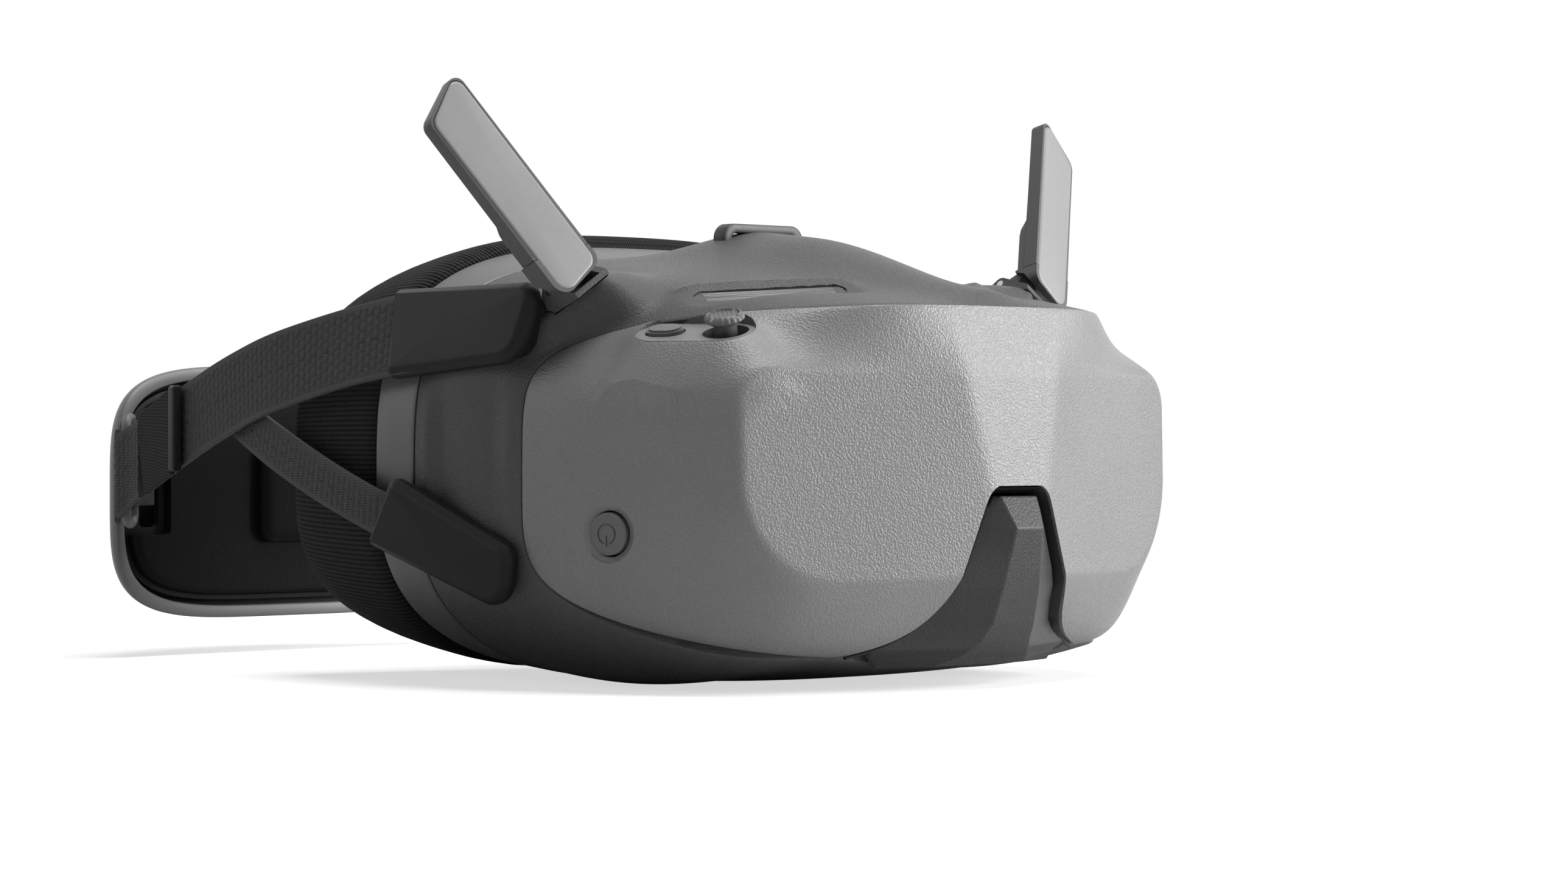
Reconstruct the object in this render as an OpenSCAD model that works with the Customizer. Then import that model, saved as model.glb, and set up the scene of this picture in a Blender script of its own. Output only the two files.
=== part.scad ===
// Box-type goggles for flying a model aircraft from its own camera.
// Frame: millimetres, +Z up, the front faces -Y, the wearer's right hand is on -X.
// The origin is on the flat underside that the goggles stand on, in the plane of symmetry.

/* [Front cover] */
// Width of the front cover across its rear edge
cover_w = 190; // [182:1:196]
// Height of the cover's top edge above the rest face
cover_top = 94.5; // [92:0.5:97]
// Height of the cover's lower edge above the rest face
cover_low = 6; // [5:0.5:7]
// How far the cover reaches ahead of its side edges
cover_depth = 80; // [76:1:84]
// Wall of the front cover
cover_wall = 2.2; // [1.6:0.1:2.6]
// Width of the flat face between the side creases
facet_w = 163; // [156:1:168]
// Height of the upper crease of the flat face
facet_top = 78; // [75:0.5:81]
// Height of the lower crease of the flat face
facet_low = 25; // [22:0.5:28]
// Width of the flat strip down the middle of the face at the upper crease
strip_w = 34.6; // [30:0.2:40]
// Angle by which each half of the face sweeps back from the strip
facet_sweep = 15.3; // [12:0.1:16]
// Lean of the middle strip, whose foot is further forward
strip_lean = 4.9; // [3:0.1:6]
// Lean of the two side facets
facet_lean = 1.3; // [0.5:0.1:2]
// Gap along every seam between fixed shells
seam_gap = 0.35; // [0.2:0.05:0.5]

/* [Nose notch] */
// Height of the notch's flat top
notch_top = 49; // [46:0.5:52]
// Width of the notch just under its rounded top
notch_w = 24.6; // [22:0.2:27]
// Outward run of the notch's edge for each unit of height
notch_slope = 0.4; // [0.35:0.01:0.5]
// Depth of the bevel round the notch
notch_bevel = 4; // [3:0.5:5]
// How far the nose wedge stands ahead of the flat face
wedge_proud = 5.6; // [4:0.2:6.5]

/* [Housing] */
// Width of the housing at its widest
housing_w = 197; // [192:1:202]
// Length from the side edges of the cover to the rear seam
housing_len = 41; // [38:1:44]
// Height of the housing at its rear seam
housing_top = 109; // [106:0.5:112]
// Wall of the housing
housing_wall = 2.6; // [2:0.1:3]
// Extra height of the middle ridge over the housing's top
ridge_rise = 9; // [6:0.5:12]
// Half width of the ridge's rounded top
ridge_half_w = 21; // [14:1:24]
// Length of the smooth bezel behind the housing
bezel_len = 16; // [12:1:20]
// Height of the arch that clears the wearer's nose
nose_arch_h = 31; // [28:1:33]
// Half width of that arch
nose_arch_w = 27; // [22:1:32]

/* [Vents] */
// Length of each top vent slot
vent_len = 40; // [36:1:46]
// Width of each top vent slot
vent_w = 6; // [4.5:0.5:7]

/* [Face foam] */
// Height of the face foam
foam_top = 117; // [114:0.5:120]
// Width of the face foam
foam_w = 187; // [183:1:190]
// Depth of the foam at the temples
foam_side_len = 46; // [40:1:50]
// Depth of the foam at the brow
foam_brow_len = 27; // [22:1:32]
// Thickness of the foam's cushion between face opening and outside
foam_wall = 19; // [16:1:22]

/* [Optics] */
// Width of the main lens
lens_w = 126; // [118:1:132]
// Height of the main lens
lens_h = 54; // [50:1:56]
// Thickness of the lens at its centre
lens_thick = 9; // [7:0.5:11]
// Width of the display's glass
screen_w = 62; // [58:1:68]
// Height of the display's glass
screen_h = 37; // [34:1:42]
// Travel of the display carriage either way
focus_travel = 4; // [3:0.5:5]
// Running clearance of sliding and turning parts
run_gap = 0.3; // [0.2:0.05:0.5]

/* [Antennas] */
// Width of an antenna blade
blade_w = 16.2; // [14:0.2:17]
// Height of the blade's inboard corner above the hinge
blade_len = 57; // [50:1:62]
// Thickness of the blade's upper part
blade_thin = 4.5; // [4:0.1:5]
// Thickness of the blade's lower part
blade_thick = 7; // [6.4:0.1:7.6]
// Lean of the raised blade to the rear
blade_lean = 20.3; // [14:0.1:26]
// Lean of the raised blade to its outer side
blade_splay = 32.4; // [26:0.1:36]
// Diameter of the hinge pin
pin_d = 2; // [1.6:0.1:2.4]
// Radial clearance of the hinge pin
pin_gap = 0.05; // [0.02:0.01:0.08]

/* [Controls] */
// Diameter of the power button
power_d = 10.6; // [9.5:0.1:11.5]
// Diameter of the joystick's cap
stick_cap_d = 10.2; // [9:0.1:11]
// Diameter of the joystick's opening in the cover
stick_hole_d = 11.6; // [11.2:0.1:12.4]
// Length of the back button
back_len = 9.6; // [8.8:0.1:10.4]
// Distance between the joystick and the back button
control_pitch = 16; // [15:0.5:17]

/* [Headband] */
// Thickness of a strap plate
plate_thick = 4.2; // [3.4:0.2:5]
// Width of the upper straps
strap_w = 21.5; // [19:0.5:23]
// Width of the lower straps
lower_strap_w = 12.5; // [11:0.5:14]
// Thickness of every strap
strap_thick = 2; // [1.6:0.1:2.4]
// Width of the battery pack
pack_w = 137; // [128:1:144]
// Height of the battery pack
pack_h = 74; // [68:1:80]
// Thickness of the battery pack at its middle
pack_thick = 28; // [24:1:32]

/* [Hidden] */

// Points round every shell, and the height at which the shells are widest
ring_n = 72;
seam_z = 52;
front_y = -cover_depth;
// Heights are measured from a datum through the chin; the flat underside lies this far below it
rest_drop = 2.5;
module lifted() {
  translate([0, 0, rest_drop]) children();
}
// The top and lower seams lie this far behind the flat face
seam_set_top = 4;
seam_set_low = 19;
crease_r_top = 9;
crease_r_low = 26.5;
cover_power = 4;
cover_power_low = 4.3;
rear_power_top = 3.2;
rear_power_low = 2.7;
foam_power_top = 3;
foam_power_low = 3;
foam_low = 0.1 - rest_drop;

function mix(a, b, t) = a * (1 - t) + b * t;
function clip(t) = min(1, max(0, t));
function ease(t) = let (k = clip(t)) k * k * (3 - 2 * k);
function steps(n) = [for (i = [0:n - 1]) 360 * i / n];
function unit(v) = v / norm(v);

// A superellipse with its own height and power above and below its widest level
function oval(angle, half_w, top, low, power_top, power_low) =
  let (
    c = cos(angle),
    s = sin(angle),
    high = s >= 0,
    n = high ? power_top : power_low,
    reach = pow(pow(abs(c), n) + pow(abs(s), n), -1 / n),
    half_h = high ? top - seam_z : seam_z - low
  )
  [half_w * reach * c, seam_z + half_h * reach * s];

// Where a ray from the middle leaves a rectangle with round corners
function round_rect(angle, half_w, half_h, r) =
  let (
    d = unit([half_w * cos(angle), half_h * sin(angle)]),
    c = max(abs(d.x), 0.0001),
    s = max(abs(d.y), 0.0001),
    side = half_w / c,
    cap = half_h / s,
    corner = [half_w - r, half_h - r],
    along = corner * [c, s],
    round_hit = along + sqrt(max(0, r * r - corner * corner + along * along)),
    t = side * s <= half_h - r ? side : cap * c <= half_w - r ? cap : round_hit
  )
  t * d;

// Closed solid through rings of equal length; the ends are fans, or the rings close on themselves
module skin(rings, loop = false) {
  n = len(rings[0]);
  m = len(rings);
  last = loop ? m : m - 1;
  middle = function(ring) [for (k = [0:2]) [for (p = ring) p[k]] * [for (p = ring) 1 / n]];
  points = [for (ring = rings) each ring];
  caps = loop ? [] : [middle(rings[0]), middle(rings[m - 1])];
  walls = [
    for (i = [0:last - 1], j = [0:n - 1])
      let (
        k = (j + 1) % n,
        a = i * n + j,
        b = i * n + k,
        c = ((i + 1) % m) * n + k,
        d = ((i + 1) % m) * n + j
      )
      each [[a, b, c], [a, c, d]]
  ];
  ends = loop ? [] : [
    for (j = [0:n - 1])
      let (k = (j + 1) % n)
      each [[m * n, k, j], [m * n + 1, (m - 1) * n + j, (m - 1) * n + k]]
  ];
  polyhedron(concat(points, caps), concat(walls, ends));
}

// ---------- the cover's surface ----------
// Depth of the face: a leaning strip that narrows downwards, and a swept facet on both sides
function face_y(x, z) =
  let (high = z - facet_top + 1)
  front_y + max(tan(strip_lean) * high, tan(facet_sweep) * (abs(x) - strip_w / 2) + tan(facet_lean) * high);
strip_taper = (tan(strip_lean) - tan(facet_lean)) / tan(facet_sweep);

// Depth of the seam between cover and housing, which sweeps back to the sides
function seam_y(x, z) =
  let (
    run = 1 - pow(clip(abs(x) * 2 / cover_w), z >= seam_z ? 4 : 5.5),
    set = z >= seam_z ? seam_set_top : seam_set_low
  )
  (front_y + set) * pow(run, z >= seam_z ? 2 : 1.15);

function crease_ring(angle, inset) =
  let (
    high = sin(angle) >= 0,
    half_h = high ? facet_top - seam_z : seam_z - facet_low,
    p = round_rect(angle, facet_w / 2 - inset, half_h - inset, high ? crease_r_top : crease_r_low)
  )
  [p.x, seam_z + p.y];

function seam_ring(angle, inset) =
  oval(angle, cover_w / 2 - inset, cover_top - inset, cover_low + inset, cover_power, cover_power_low);

// Points of the flat face: first round the middle strip, then just inside the crease
function face_point(angle, share, inset) =
  let (
    p = crease_ring(angle, inset),
    half = strip_w / 2 + strip_taper * (seam_z - facet_top + 1),
    span = abs(p.x) - strip_taper * (p.y - seam_z),
    k = share < 1 ? (span > half / 0.9 ? half / span : 0.9) : 0.97,
    x = p.x * k,
    z = mix(seam_z, p.y, k)
  )
  [x, face_y(x, z) + inset, z];

// How full the side wall is between crease and seam: flat at the sides, round in the corners
function wall_fullness(angle) =
  let (s = sin(angle)) s >= 0 ? 1 + pow(sin(2 * angle), 2) : 1 + pow(clip(-1.25 * s), 2);

// Side wall of the cover from the crease (m = 0) to the seam (m = 1), turned in along the seam
function wall_point(angle, m, inset) =
  let (
    a = crease_ring(angle, inset),
    b = seam_ring(angle, inset),
    outer = seam_ring(angle, 0),
    e = 1 - pow(1 - m, wall_fullness(angle)),
    y0 = face_y(a.x, a.y) + inset + crease_round,
    y1 = seam_y(outer.x, outer.y)
  )
  [mix(a.x, b.x, e), mix(y0, y1, m), mix(a.y, b.y, e)];

crease_round = 0.5;
wall_steps = [0, 0.08, 0.3, 0.6, 0.86, 1];
function cover_rings(inset) = concat(
  [for (share = [0, 1]) [for (a = steps(ring_n)) face_point(a, share, inset)]],
  [for (m = wall_steps) [for (a = steps(ring_n)) wall_point(a, m, inset)]]
);
function reversed(list) = [for (i = [len(list) - 1:-1:0]) list[i]];

// Half width of the notch in the cover at a height, measured at a given inset
function notch_half(z, inset) =
  notch_w / 2 - inset + notch_slope * (notch_top - 4 - z) - 4 * exp((z - notch_top - 0.5) / 1.2)
  + 18 * exp(-(z - cover_low - 0.5) / 4);
notch_levels = [2, 6.5, 7.5, 8.5, 10, 12, 15, 20, 28, 38, 45, 46.5, 48, notch_top];
module notch_outline(inset) {
  polygon(concat(
    [for (z = notch_levels) [notch_half(z, inset), z - (z == notch_top ? inset : 0)]],
    [for (z = reversed(notch_levels)) [-notch_half(z, inset), z - (z == notch_top ? inset : 0)]]
  ));
}
// Extrudes an outline drawn in X and Z towards +Y
module along_y(y0, y1) {
  translate([0, y1, 0]) rotate([90, 0, 0]) linear_extrude(y1 - y0) children();
}

// Depth of the cover's outside below the brow, also under the lower crease
function cover_y(x, z) =
  let (fall = clip((facet_low - z) / (facet_low - cover_low)))
  mix(face_y(x, max(z, facet_low)), seam_y(x, cover_low), 1 - sqrt(1 - fall));

// ---------- controls: a tilted flat on the cover's upper corner ----------
control_centre = [19.4 - cover_w / 2, front_y + 38, cover_top - 7.3];
control_turn = 113.5;
control_roll = -18;
control_ledge_w = 15;
button_gap = 0.35;
module at_controls() {
  translate(control_centre) rotate([0, 0, control_turn]) rotate([control_roll, 0, 0]) children();
}
stick_spot = [-control_pitch / 2, 0, 0];
back_spot = [control_pitch / 2, 0, 0];
back_w = 7.4;
// Shelf under the controls, whose foot spreads into the cover
module shelf() {
  hull() {
    translate([0, 0, -0.2]) stadium(control_pitch + control_ledge_w - 1, control_ledge_w - 1, 0.2);
    translate([-3.2, 0.5, -5]) stadium(control_pitch + control_ledge_w + 1.6, control_ledge_w + 3, 0.2);
  }
}
// The power button looks out along the cover's side
power_spot = [-cover_w / 2 + 5.6, -25.7, 37.4];
power_turn = [0, 91.2, 193.3];
module at_power() {
  translate(power_spot) rotate([0, 0, power_turn.z]) rotate([0, power_turn.y, 0]) children();
}
module stadium(len, w, h) {
  linear_extrude(h) {
    square([len - w, w], center = true);
    for (side = [-1, 1]) translate([side * (len - w) / 2, 0]) circle(d = w, $fn = 48);
  }
}

module front_cover() {
  color([0.42, 0.42, 0.43])
    difference() {
      union() {
        skin(concat(cover_rings(0), reversed(cover_rings(cover_wall))));
        at_controls() shelf();
      }
      along_y(front_y - 9, front_y + 40) notch_outline(0);
      at_controls() {
        stadium(control_pitch + control_ledge_w, control_ledge_w, 12);
        translate(stick_spot + [0, 0, -9]) cylinder(d = stick_hole_d, h = 20, $fn = 64);
        translate(back_spot + [0, 0, -9]) stadium(back_len + 2 * button_gap, back_w + 2 * button_gap, 20);
      }
      at_power() {
        translate([0, 0, -8]) cylinder(d = power_d + 2 * button_gap, h = 16, $fn = 64);
        translate([0, 0, -0.6]) cylinder(d1 = power_d + 4, d2 = power_d + 8, h = 2, $fn = 64);
      }
    }
}

// The bevelled frame that lines the notch behind the cover's face
trim_thick = 1.5;
trim_low = 0.6;
notch_path = concat(
  [for (z = notch_levels) if (z > cover_low + 1) [-notch_half(z, 0), z]],
  [[0, notch_top]],
  [for (z = reversed(notch_levels)) if (z > cover_low + 1) [notch_half(z, 0), z]]
);
function trim_ring(i) =
  let (
    p = notch_path[i],
    before = notch_path[max(0, i - 1)],
    after = notch_path[min(len(notch_path) - 1, i + 1)],
    along = unit(after - before),
    inward = [along.y, -along.x],
    set = seam_gap + 0.1,
    low_fade = ease((p.y - cover_low) / 10),
    y0 = cover_y(p.x, p.y) + 0.9,
    y1 = y0 + 1 + notch_bevel * low_fade,
    a = p + set * inward,
    b = p + (set + mix(trim_low, trim_thick, low_fade)) * inward
  )
  [[a.x, y0, a.y], [a.x, y1, a.y], [b.x, y1, b.y], [b.x, y0 + 0.8 * notch_bevel * low_fade, b.y]];
module notch_trim() {
  color([0.16, 0.16, 0.17]) skin([for (i = [0:len(notch_path) - 1]) trim_ring(i)]);
}

// ---------- nose wedge ----------
wedge_top = notch_top - 2.6;
wedge_foot = 3.4;
// Each row: height, half width of the front facet and how far it is proud of the face
wedge_rows = [
  [wedge_top, 7, wedge_proud - 3.8],
  [38.4, 5, wedge_proud],
  [32.3, 5.7, wedge_proud - 1.1],
  [23.5, 6.9, wedge_proud - 2.9],
  [14.3, 7.9, wedge_proud - 5.5],
  [9.5, 9.5, wedge_proud - 8.6],
  [6.8, 12, wedge_proud - 11.1],
  [5.2, 14, wedge_proud - 13.5],
  [wedge_foot, 17, wedge_proud - 17.5]
];
function wedge_value(z, k) = lookup(z, [for (row = wedge_rows) [row[0], row[k]]]);
wedge_levels = [wedge_top, 43.5, 38.4, 30, 22, 15, 10.5, 8, 6.4, 5, wedge_foot];
wedge_back = front_y + seam_set_low - 0.6;
// Half width that keeps a clearance from the notch's edge, measured square to the edge
function notch_clear(z, set) =
  let (slope = (notch_half(z + 0.1, 0) - notch_half(z - 0.1, 0)) / 0.2) notch_half(z, set * norm([1, slope]));
function wedge_ring(z) =
  let (
    trim = mix(trim_low, trim_thick, ease((z - cover_low) / 10)),
    set = 2 * seam_gap + trim + 0.35 + 1.5 * ease((z - 43) / 4),
    side = min(notch_clear(max(z, cover_low + 0.6), set), 30 + 0.9 * z),
    y_side = min(cover_y(side, z) + 0.7 * notch_bevel * ease((z - cover_low) / 10), wedge_back - 1.2),
    half = wedge_value(z, 1),
    y_front = front_y - wedge_value(z, 2),
    y_back = min(y_side + 3.5, wedge_back)
  )
  [[-side, y_back, z], [-side, y_side, z], [-half, y_front, z], [half, y_front, z],
   [side, y_side, z], [side, y_back, z]];
module nose_wedge() {
  color([0.3, 0.3, 0.31]) skin([for (z = wedge_levels) wedge_ring(z)]);
}

// ---------- main housing ----------
belly_drop = 5;
chin_drop = 3;
chin_w = 38;
side_bulge = (housing_w - cover_w) / 2;
side_hollow = 3;
rear_half_w = cover_w / 2;
// Rise of the middle ridge over the housing's top along its length
function ridge(x, y) =
  let (
    width = mix(ridge_half_w / 2, ridge_half_w, ease((y + 65) / 60)),
    across = exp(-0.7 * pow(x / width, 2)),
    front = 0.36 * ease((y - front_y - seam_set_top) / 5),
    along = 0.64 * ease((y + 60) / 50),
    fade = 1 - ease((y - 8) / 34)
  )
  ridge_rise * across * (front + along) * fade;
// The arch over the nose, which starts behind the rest face
function nose_arch(x, y) = nose_arch_h * exp(-pow(x / nose_arch_w / 0.85, 4)) * ease((y - 9) / 31);
function housing_point(angle, s, inset) =
  let (
    a = seam_ring(angle, inset),
    edge = seam_ring(angle, 0),
    b = oval(angle, rear_half_w - inset, housing_top - inset, inset - rest_drop - 1.2, rear_power_top, rear_power_low),
    y = mix(seam_y(edge.x, edge.y) + seam_gap, housing_len - seam_gap, s),
    e = 1 - pow(1 - s, sin(angle) < 0 ? 2.6 : 1.5),
    x = mix(a.x, b.x, e) + side_bulge * sin(180 * s) * cos(angle),
    z = mix(a.y, b.y, e),
    high = z > seam_z,
    hollow = side_hollow * exp(-pow((z - 55) / 19, 4)) * ease((y - 3) / 9) * (1 - ease((y - 29) / 7)),
    chin = high ? 0 : chin_drop * exp(-pow(x / chin_w, 4)) * pow(1 - s, 3),
    side_share = exp(-pow((abs(x) - 66) / 20, 2)),
    belly = high ? 0 : belly_drop * sin(180 * clip((y + 66) / 107)) * ease((34 - z) / 30) * side_share,
    low_z = max(z - chin - belly, inset - rest_drop),
    lift = high ? ridge(x, y) : nose_arch(x, y) * clip((seam_z - z) / 40)
  )
  [x - sign(x) * hollow, y, (high ? z : low_z) + lift];
housing_steps = [0, 0.06, 0.2, 0.36, 0.52, 0.68, 0.84, 1];
function housing_rings(inset) =
  [for (s = housing_steps) [for (a = steps(ring_n)) housing_point(a, s, inset)]];

// Vent slots on the shoulders, with a ledge for the mesh
vent_spot = [45, -38, 98];
vent_turn = 30.6;
vent_tilt = 14;
vent_dip = 3.3;
module at_vent(side) {
  mirror([side < 0 ? 1 : 0, 0, 0])
    translate(vent_spot) rotate([0, 0, vent_turn]) rotate([vent_tilt, vent_dip, 0]) children();
}
focus_slot_y = -26;
focus_slot_w = 7;
focus_slot_len = 2 * focus_travel + 9;
// Sockets on the outer side of the housing, between the strap plates on the +X side
port_x = cover_w / 2 - 9;
port_y = 10;
port_z = 58;
jack_y = port_y + 12;
usb_w = 9;
usb_h = 3.3;
jack_d = 3.6;
module main_housing() {
  color([0.2, 0.2, 0.21])
    difference() {
      union() {
        skin(concat(housing_rings(0), reversed(housing_rings(housing_wall))), loop = true);
        plate_bosses();
        for (side = [-1, 1]) pedestal(side);
      }
      for (side = [-1, 1]) {
        at_vent(side) translate([0, 0, -12]) stadium(vent_len, vent_w, 24);
        seat_cut(side);
        at_upper(side) screws_at(screw_gap);
        at_lower(side) screws_at(screw_gap);
      }
      loop_shape(0.15);
      translate([0, focus_slot_y, -4]) rotate([0, 0, 90]) stadium(focus_slot_len, focus_slot_w, 14);
      translate([port_x - 4, port_y, port_z]) rotate([0, 90, 0]) rotate([0, 0, 90])
        stadium(usb_w + 0.6, usb_h + 0.6, 40);
      translate([port_x - 4, jack_y, port_z]) rotate([0, 90, 0]) cylinder(d = jack_d + 3, h = 40, $fn = 48);
    }
}

// ---------- bezel and foam ----------
bezel_wall = 4;
function bezel_point(angle, s, inset) =
  let (
    a = oval(angle, rear_half_w - inset, housing_top - inset, inset - rest_drop - 1.2, rear_power_top, rear_power_low),
    b = oval(angle, rear_half_w - 0.5 - inset, foam_top - 4 - inset, inset - rest_drop + 0.4, foam_power_top,
      rear_power_low),
    y = housing_len + seam_gap + s * (bezel_len - 2 * seam_gap),
    x = mix(a.x, b.x, s),
    z = max(mix(a.y, b.y, s), inset - rest_drop),
    lift = z > seam_z ? 0 : nose_arch(x, y) * clip((seam_z - z) / 40)
  )
  [x, y, z + lift];
module rear_bezel() {
  rings = concat(
    [for (s = [0, 0.5, 1]) [for (a = steps(ring_n)) bezel_point(a, s, 0)]],
    [for (s = [1, 0]) [for (a = steps(ring_n)) bezel_point(a, s, bezel_wall)]]
  );
  color([0.27, 0.27, 0.28]) skin(rings, loop = true);
}

foam_y = housing_len + bezel_len + seam_gap;
// Section of the foam: how far in from its outside, and the share of its depth
foam_section = [
  [1, 0], [0, 0.08], [1.2, 0.35], [3.4, 0.65], [6.4, 0.88], [foam_wall * 0.5, 1],
  [foam_wall - 3, 0.9], [foam_wall, 0.6], [foam_wall, 0]
];
function foam_depth(x, z) = mix(foam_brow_len, foam_side_len, ease((abs(x) - 12) / (foam_w / 2 - 16)));
function foam_point(angle, section) =
  let (
    inset = section[0],
    p = oval(angle, foam_w / 2 - inset, foam_top - inset, foam_low + inset, foam_power_top, foam_power_low),
    edge = oval(angle, foam_w / 2, foam_top, foam_low, foam_power_top, foam_power_low),
    y = foam_y + section[1] * foam_depth(edge.x, edge.y),
    lift = p.y > seam_z ? 0 : nose_arch(p.x, 60) * clip((seam_z - p.y) / 40)
  )
  [p.x, y, p.y + lift];
module face_foam() {
  rings = [for (section = foam_section) [for (a = steps(60)) foam_point(a, section)]];
  color([0.14, 0.14, 0.15]) skin(rings, loop = true);
}

// ---------- optics ----------
lens_z = 66;
frame_thick = 3;
frame_y = housing_len - 6;
tunnel_wall = 2;
tunnel_w = screen_w + 34;
tunnel_h = screen_h + 14;
tunnel_front = -38;
flange_y = frame_y + frame_thick - lens_thick - tunnel_wall - 1;
frame_inset = housing_wall + seam_gap;
function corner_points(w, h, r, n = 6) = [
  for (q = [0:3], i = [0:n])
    let (
      a = 90 * q + 90 * i / n,
      sx = q == 0 || q == 3 ? 1 : -1,
      sz = q < 2 ? 1 : -1
    )
    [sx * (w / 2 - r) + r * cos(a), sz * (h / 2 - r) + r * sin(a)]
];
module plate_xz(w, h, r, y0, y1, z) {
  along_y(y0, y1) translate([0, z]) polygon(corner_points(w, h, r));
}
module lens_frame() {
  inner_ring = [
    for (a = steps(60))
      let (
        p = oval(a, rear_half_w - frame_inset - 1, housing_top - frame_inset - 1, frame_inset + 1,
          rear_power_top, rear_power_low),
        lift = p.y > seam_z ? 0 : nose_arch(p.x, housing_len) * clip((seam_z - p.y) / 40)
      )
      [p.x, p.y + lift]
  ];
  color([0.1, 0.1, 0.1])
    difference() {
      along_y(frame_y, frame_y + frame_thick) polygon(inner_ring);
      plate_xz(lens_w + 0.6, lens_h + 0.6, 14, frame_y - 1, frame_y + frame_thick + 1, lens_z);
    }
}
lens_sphere_r = 240;
module main_lens() {
  color([0.75, 0.82, 0.88, 0.4])
    intersection() {
      plate_xz(lens_w, lens_h, 14, frame_y + frame_thick - lens_thick, frame_y + frame_thick, lens_z);
      translate([0, frame_y + frame_thick - lens_thick + lens_sphere_r, lens_z]) sphere(lens_sphere_r, $fn = 360);
    }
}
module viewing_tunnel() {
  color([0.08, 0.08, 0.08])
    difference() {
      union() {
        plate_xz(tunnel_w, tunnel_h, 6, tunnel_front, flange_y, lens_z);
        plate_xz(lens_w + 8, lens_h + 8, 16, flange_y, frame_y - seam_gap, lens_z);
      }
      plate_xz(tunnel_w - 2 * tunnel_wall, tunnel_h - 2 * tunnel_wall, 4, tunnel_front - 1, flange_y + 3, lens_z);
      plate_xz(lens_w + 1, lens_h + 1, 14, flange_y + tunnel_wall, frame_y, lens_z);
      translate([0, focus_slot_y, lens_z - tunnel_h / 2 - 1]) rotate([0, 0, 90])
        stadium(focus_slot_len, focus_slot_w, tunnel_wall + 2);
    }
}
carriage_w = tunnel_w - 2 * tunnel_wall - 2 * run_gap;
carriage_h = tunnel_h - 2 * tunnel_wall - 2 * run_gap;
carriage_y = focus_slot_y - 3;
carriage_len = 9;
glass_thick = 2.4;
module display_carriage() {
  color([0.15, 0.15, 0.16])
    difference() {
      plate_xz(carriage_w, carriage_h, 4 - run_gap, carriage_y, carriage_y + carriage_len, lens_z);
      plate_xz(screen_w - 4, screen_h - 4, 2, carriage_y - 1, carriage_y + carriage_len + 1, lens_z);
      plate_xz(screen_w + 0.4, screen_h + 0.4, 2, carriage_y + carriage_len - glass_thick - 1,
        carriage_y + carriage_len + 1, lens_z);
    }
}
module display_panel() {
  y1 = carriage_y + carriage_len - 1;
  color([0.03, 0.03, 0.05]) plate_xz(screen_w, screen_h, 2, y1 - glass_thick + 0.05, y1, lens_z);
}
slider_top = lens_z - carriage_h / 2;
module focus_slider() {
  // A stem under the carriage with a ribbed thumb pad that sits flush in the underside
  pad_len = 8;
  pad_w = focus_slot_w - 2 * run_gap;
  stem_w = 4;
  pad_low = -0.2;
  color([0.12, 0.12, 0.12])
    difference() {
      union() {
        translate([0, focus_slot_y, pad_low]) rotate([0, 0, 90]) stadium(pad_len, pad_w, 4);
        translate([-stem_w / 2, focus_slot_y - 2, pad_low + 3]) cube([stem_w, 4, slider_top - pad_low - 3.05]);
      }
      for (i = [-1:1]) translate([-pad_w, focus_slot_y - 0.4 + 2 * i, pad_low - 1]) cube([2 * pad_w, 0.8, 1.6]);
    }
}

// ---------- electronics ----------
board_y = tunnel_front - 6;
board_w = 110;
board_h = 46;
board_thick = 1.6;
module mainboard() {
  color([0.08, 0.2, 0.12]) {
    difference() {
      plate_xz(board_w, board_h, 3, board_y, board_y + board_thick, lens_z + 5);
      for (x = [-1, 1], z = [-1, 1])
        translate([x * (board_w / 2 - 5), board_y - 1, lens_z + 5 + z * (board_h / 2 - 5)])
          rotate([-90, 0, 0]) cylinder(d = 2.4, h = 4, $fn = 32);
    }
    for (spot = [[-34, 2], [6, 6], [34, -4]])
      translate([spot.x - 7, board_y - 1.4, lens_z + spot.y]) cube([14, 1.4, 12]);
  }
}
fan_size = 30;
fan_thick = 7;
fan_centre = [0, board_y - 10.5, 70];
fan_pin_d = 3;
module fan_frame() {
  color([0.1, 0.1, 0.1]) translate(fan_centre) rotate([-90, 0, 0]) {
    difference() {
      translate([-fan_size / 2, -fan_size / 2, 0]) cube([fan_size, fan_size, fan_thick]);
      translate([0, 0, -1]) cylinder(d = fan_size - 2.4, h = fan_thick + 2, $fn = 72);
    }
    for (a = [45:90:315]) rotate(a)
      translate([fan_pin_d / 2 + 1, -0.8, fan_thick - 1.2]) cube([fan_size / 2 - fan_pin_d / 2 - 2, 1.6, 1.2]);
    translate([0, 0, fan_thick - 1.2]) cylinder(r = fan_pin_d / 2 + 2, h = 1.2, $fn = 48);
    translate([0, 0, 1.5]) cylinder(d = fan_pin_d, h = fan_thick - 2, $fn = 48);
  }
}
fan_blades = 9;
module fan_impeller() {
  hub_r = 6;
  blade_h = fan_thick - 2.4;
  color([0.16, 0.16, 0.17]) translate(fan_centre) rotate([-90, 0, 0])
    difference() {
      union() {
        translate([0, 0, 0.5]) cylinder(r = hub_r, h = blade_h + 0.6, $fn = 64);
        for (i = [0:fan_blades - 1]) rotate(360 * i / fan_blades)
          translate([hub_r - 0.5, 0, 0.6]) rotate([32, 0, 0])
            translate([0, -0.4, 0]) cube([fan_size / 2 - 1.2 - 0.9 - hub_r, 0.8, blade_h - 0.2]);
      }
      translate([0, 0, 1.2]) cylinder(d = fan_pin_d + 2 * pin_gap, h = fan_thick, $fn = 48);
    }
}
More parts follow.
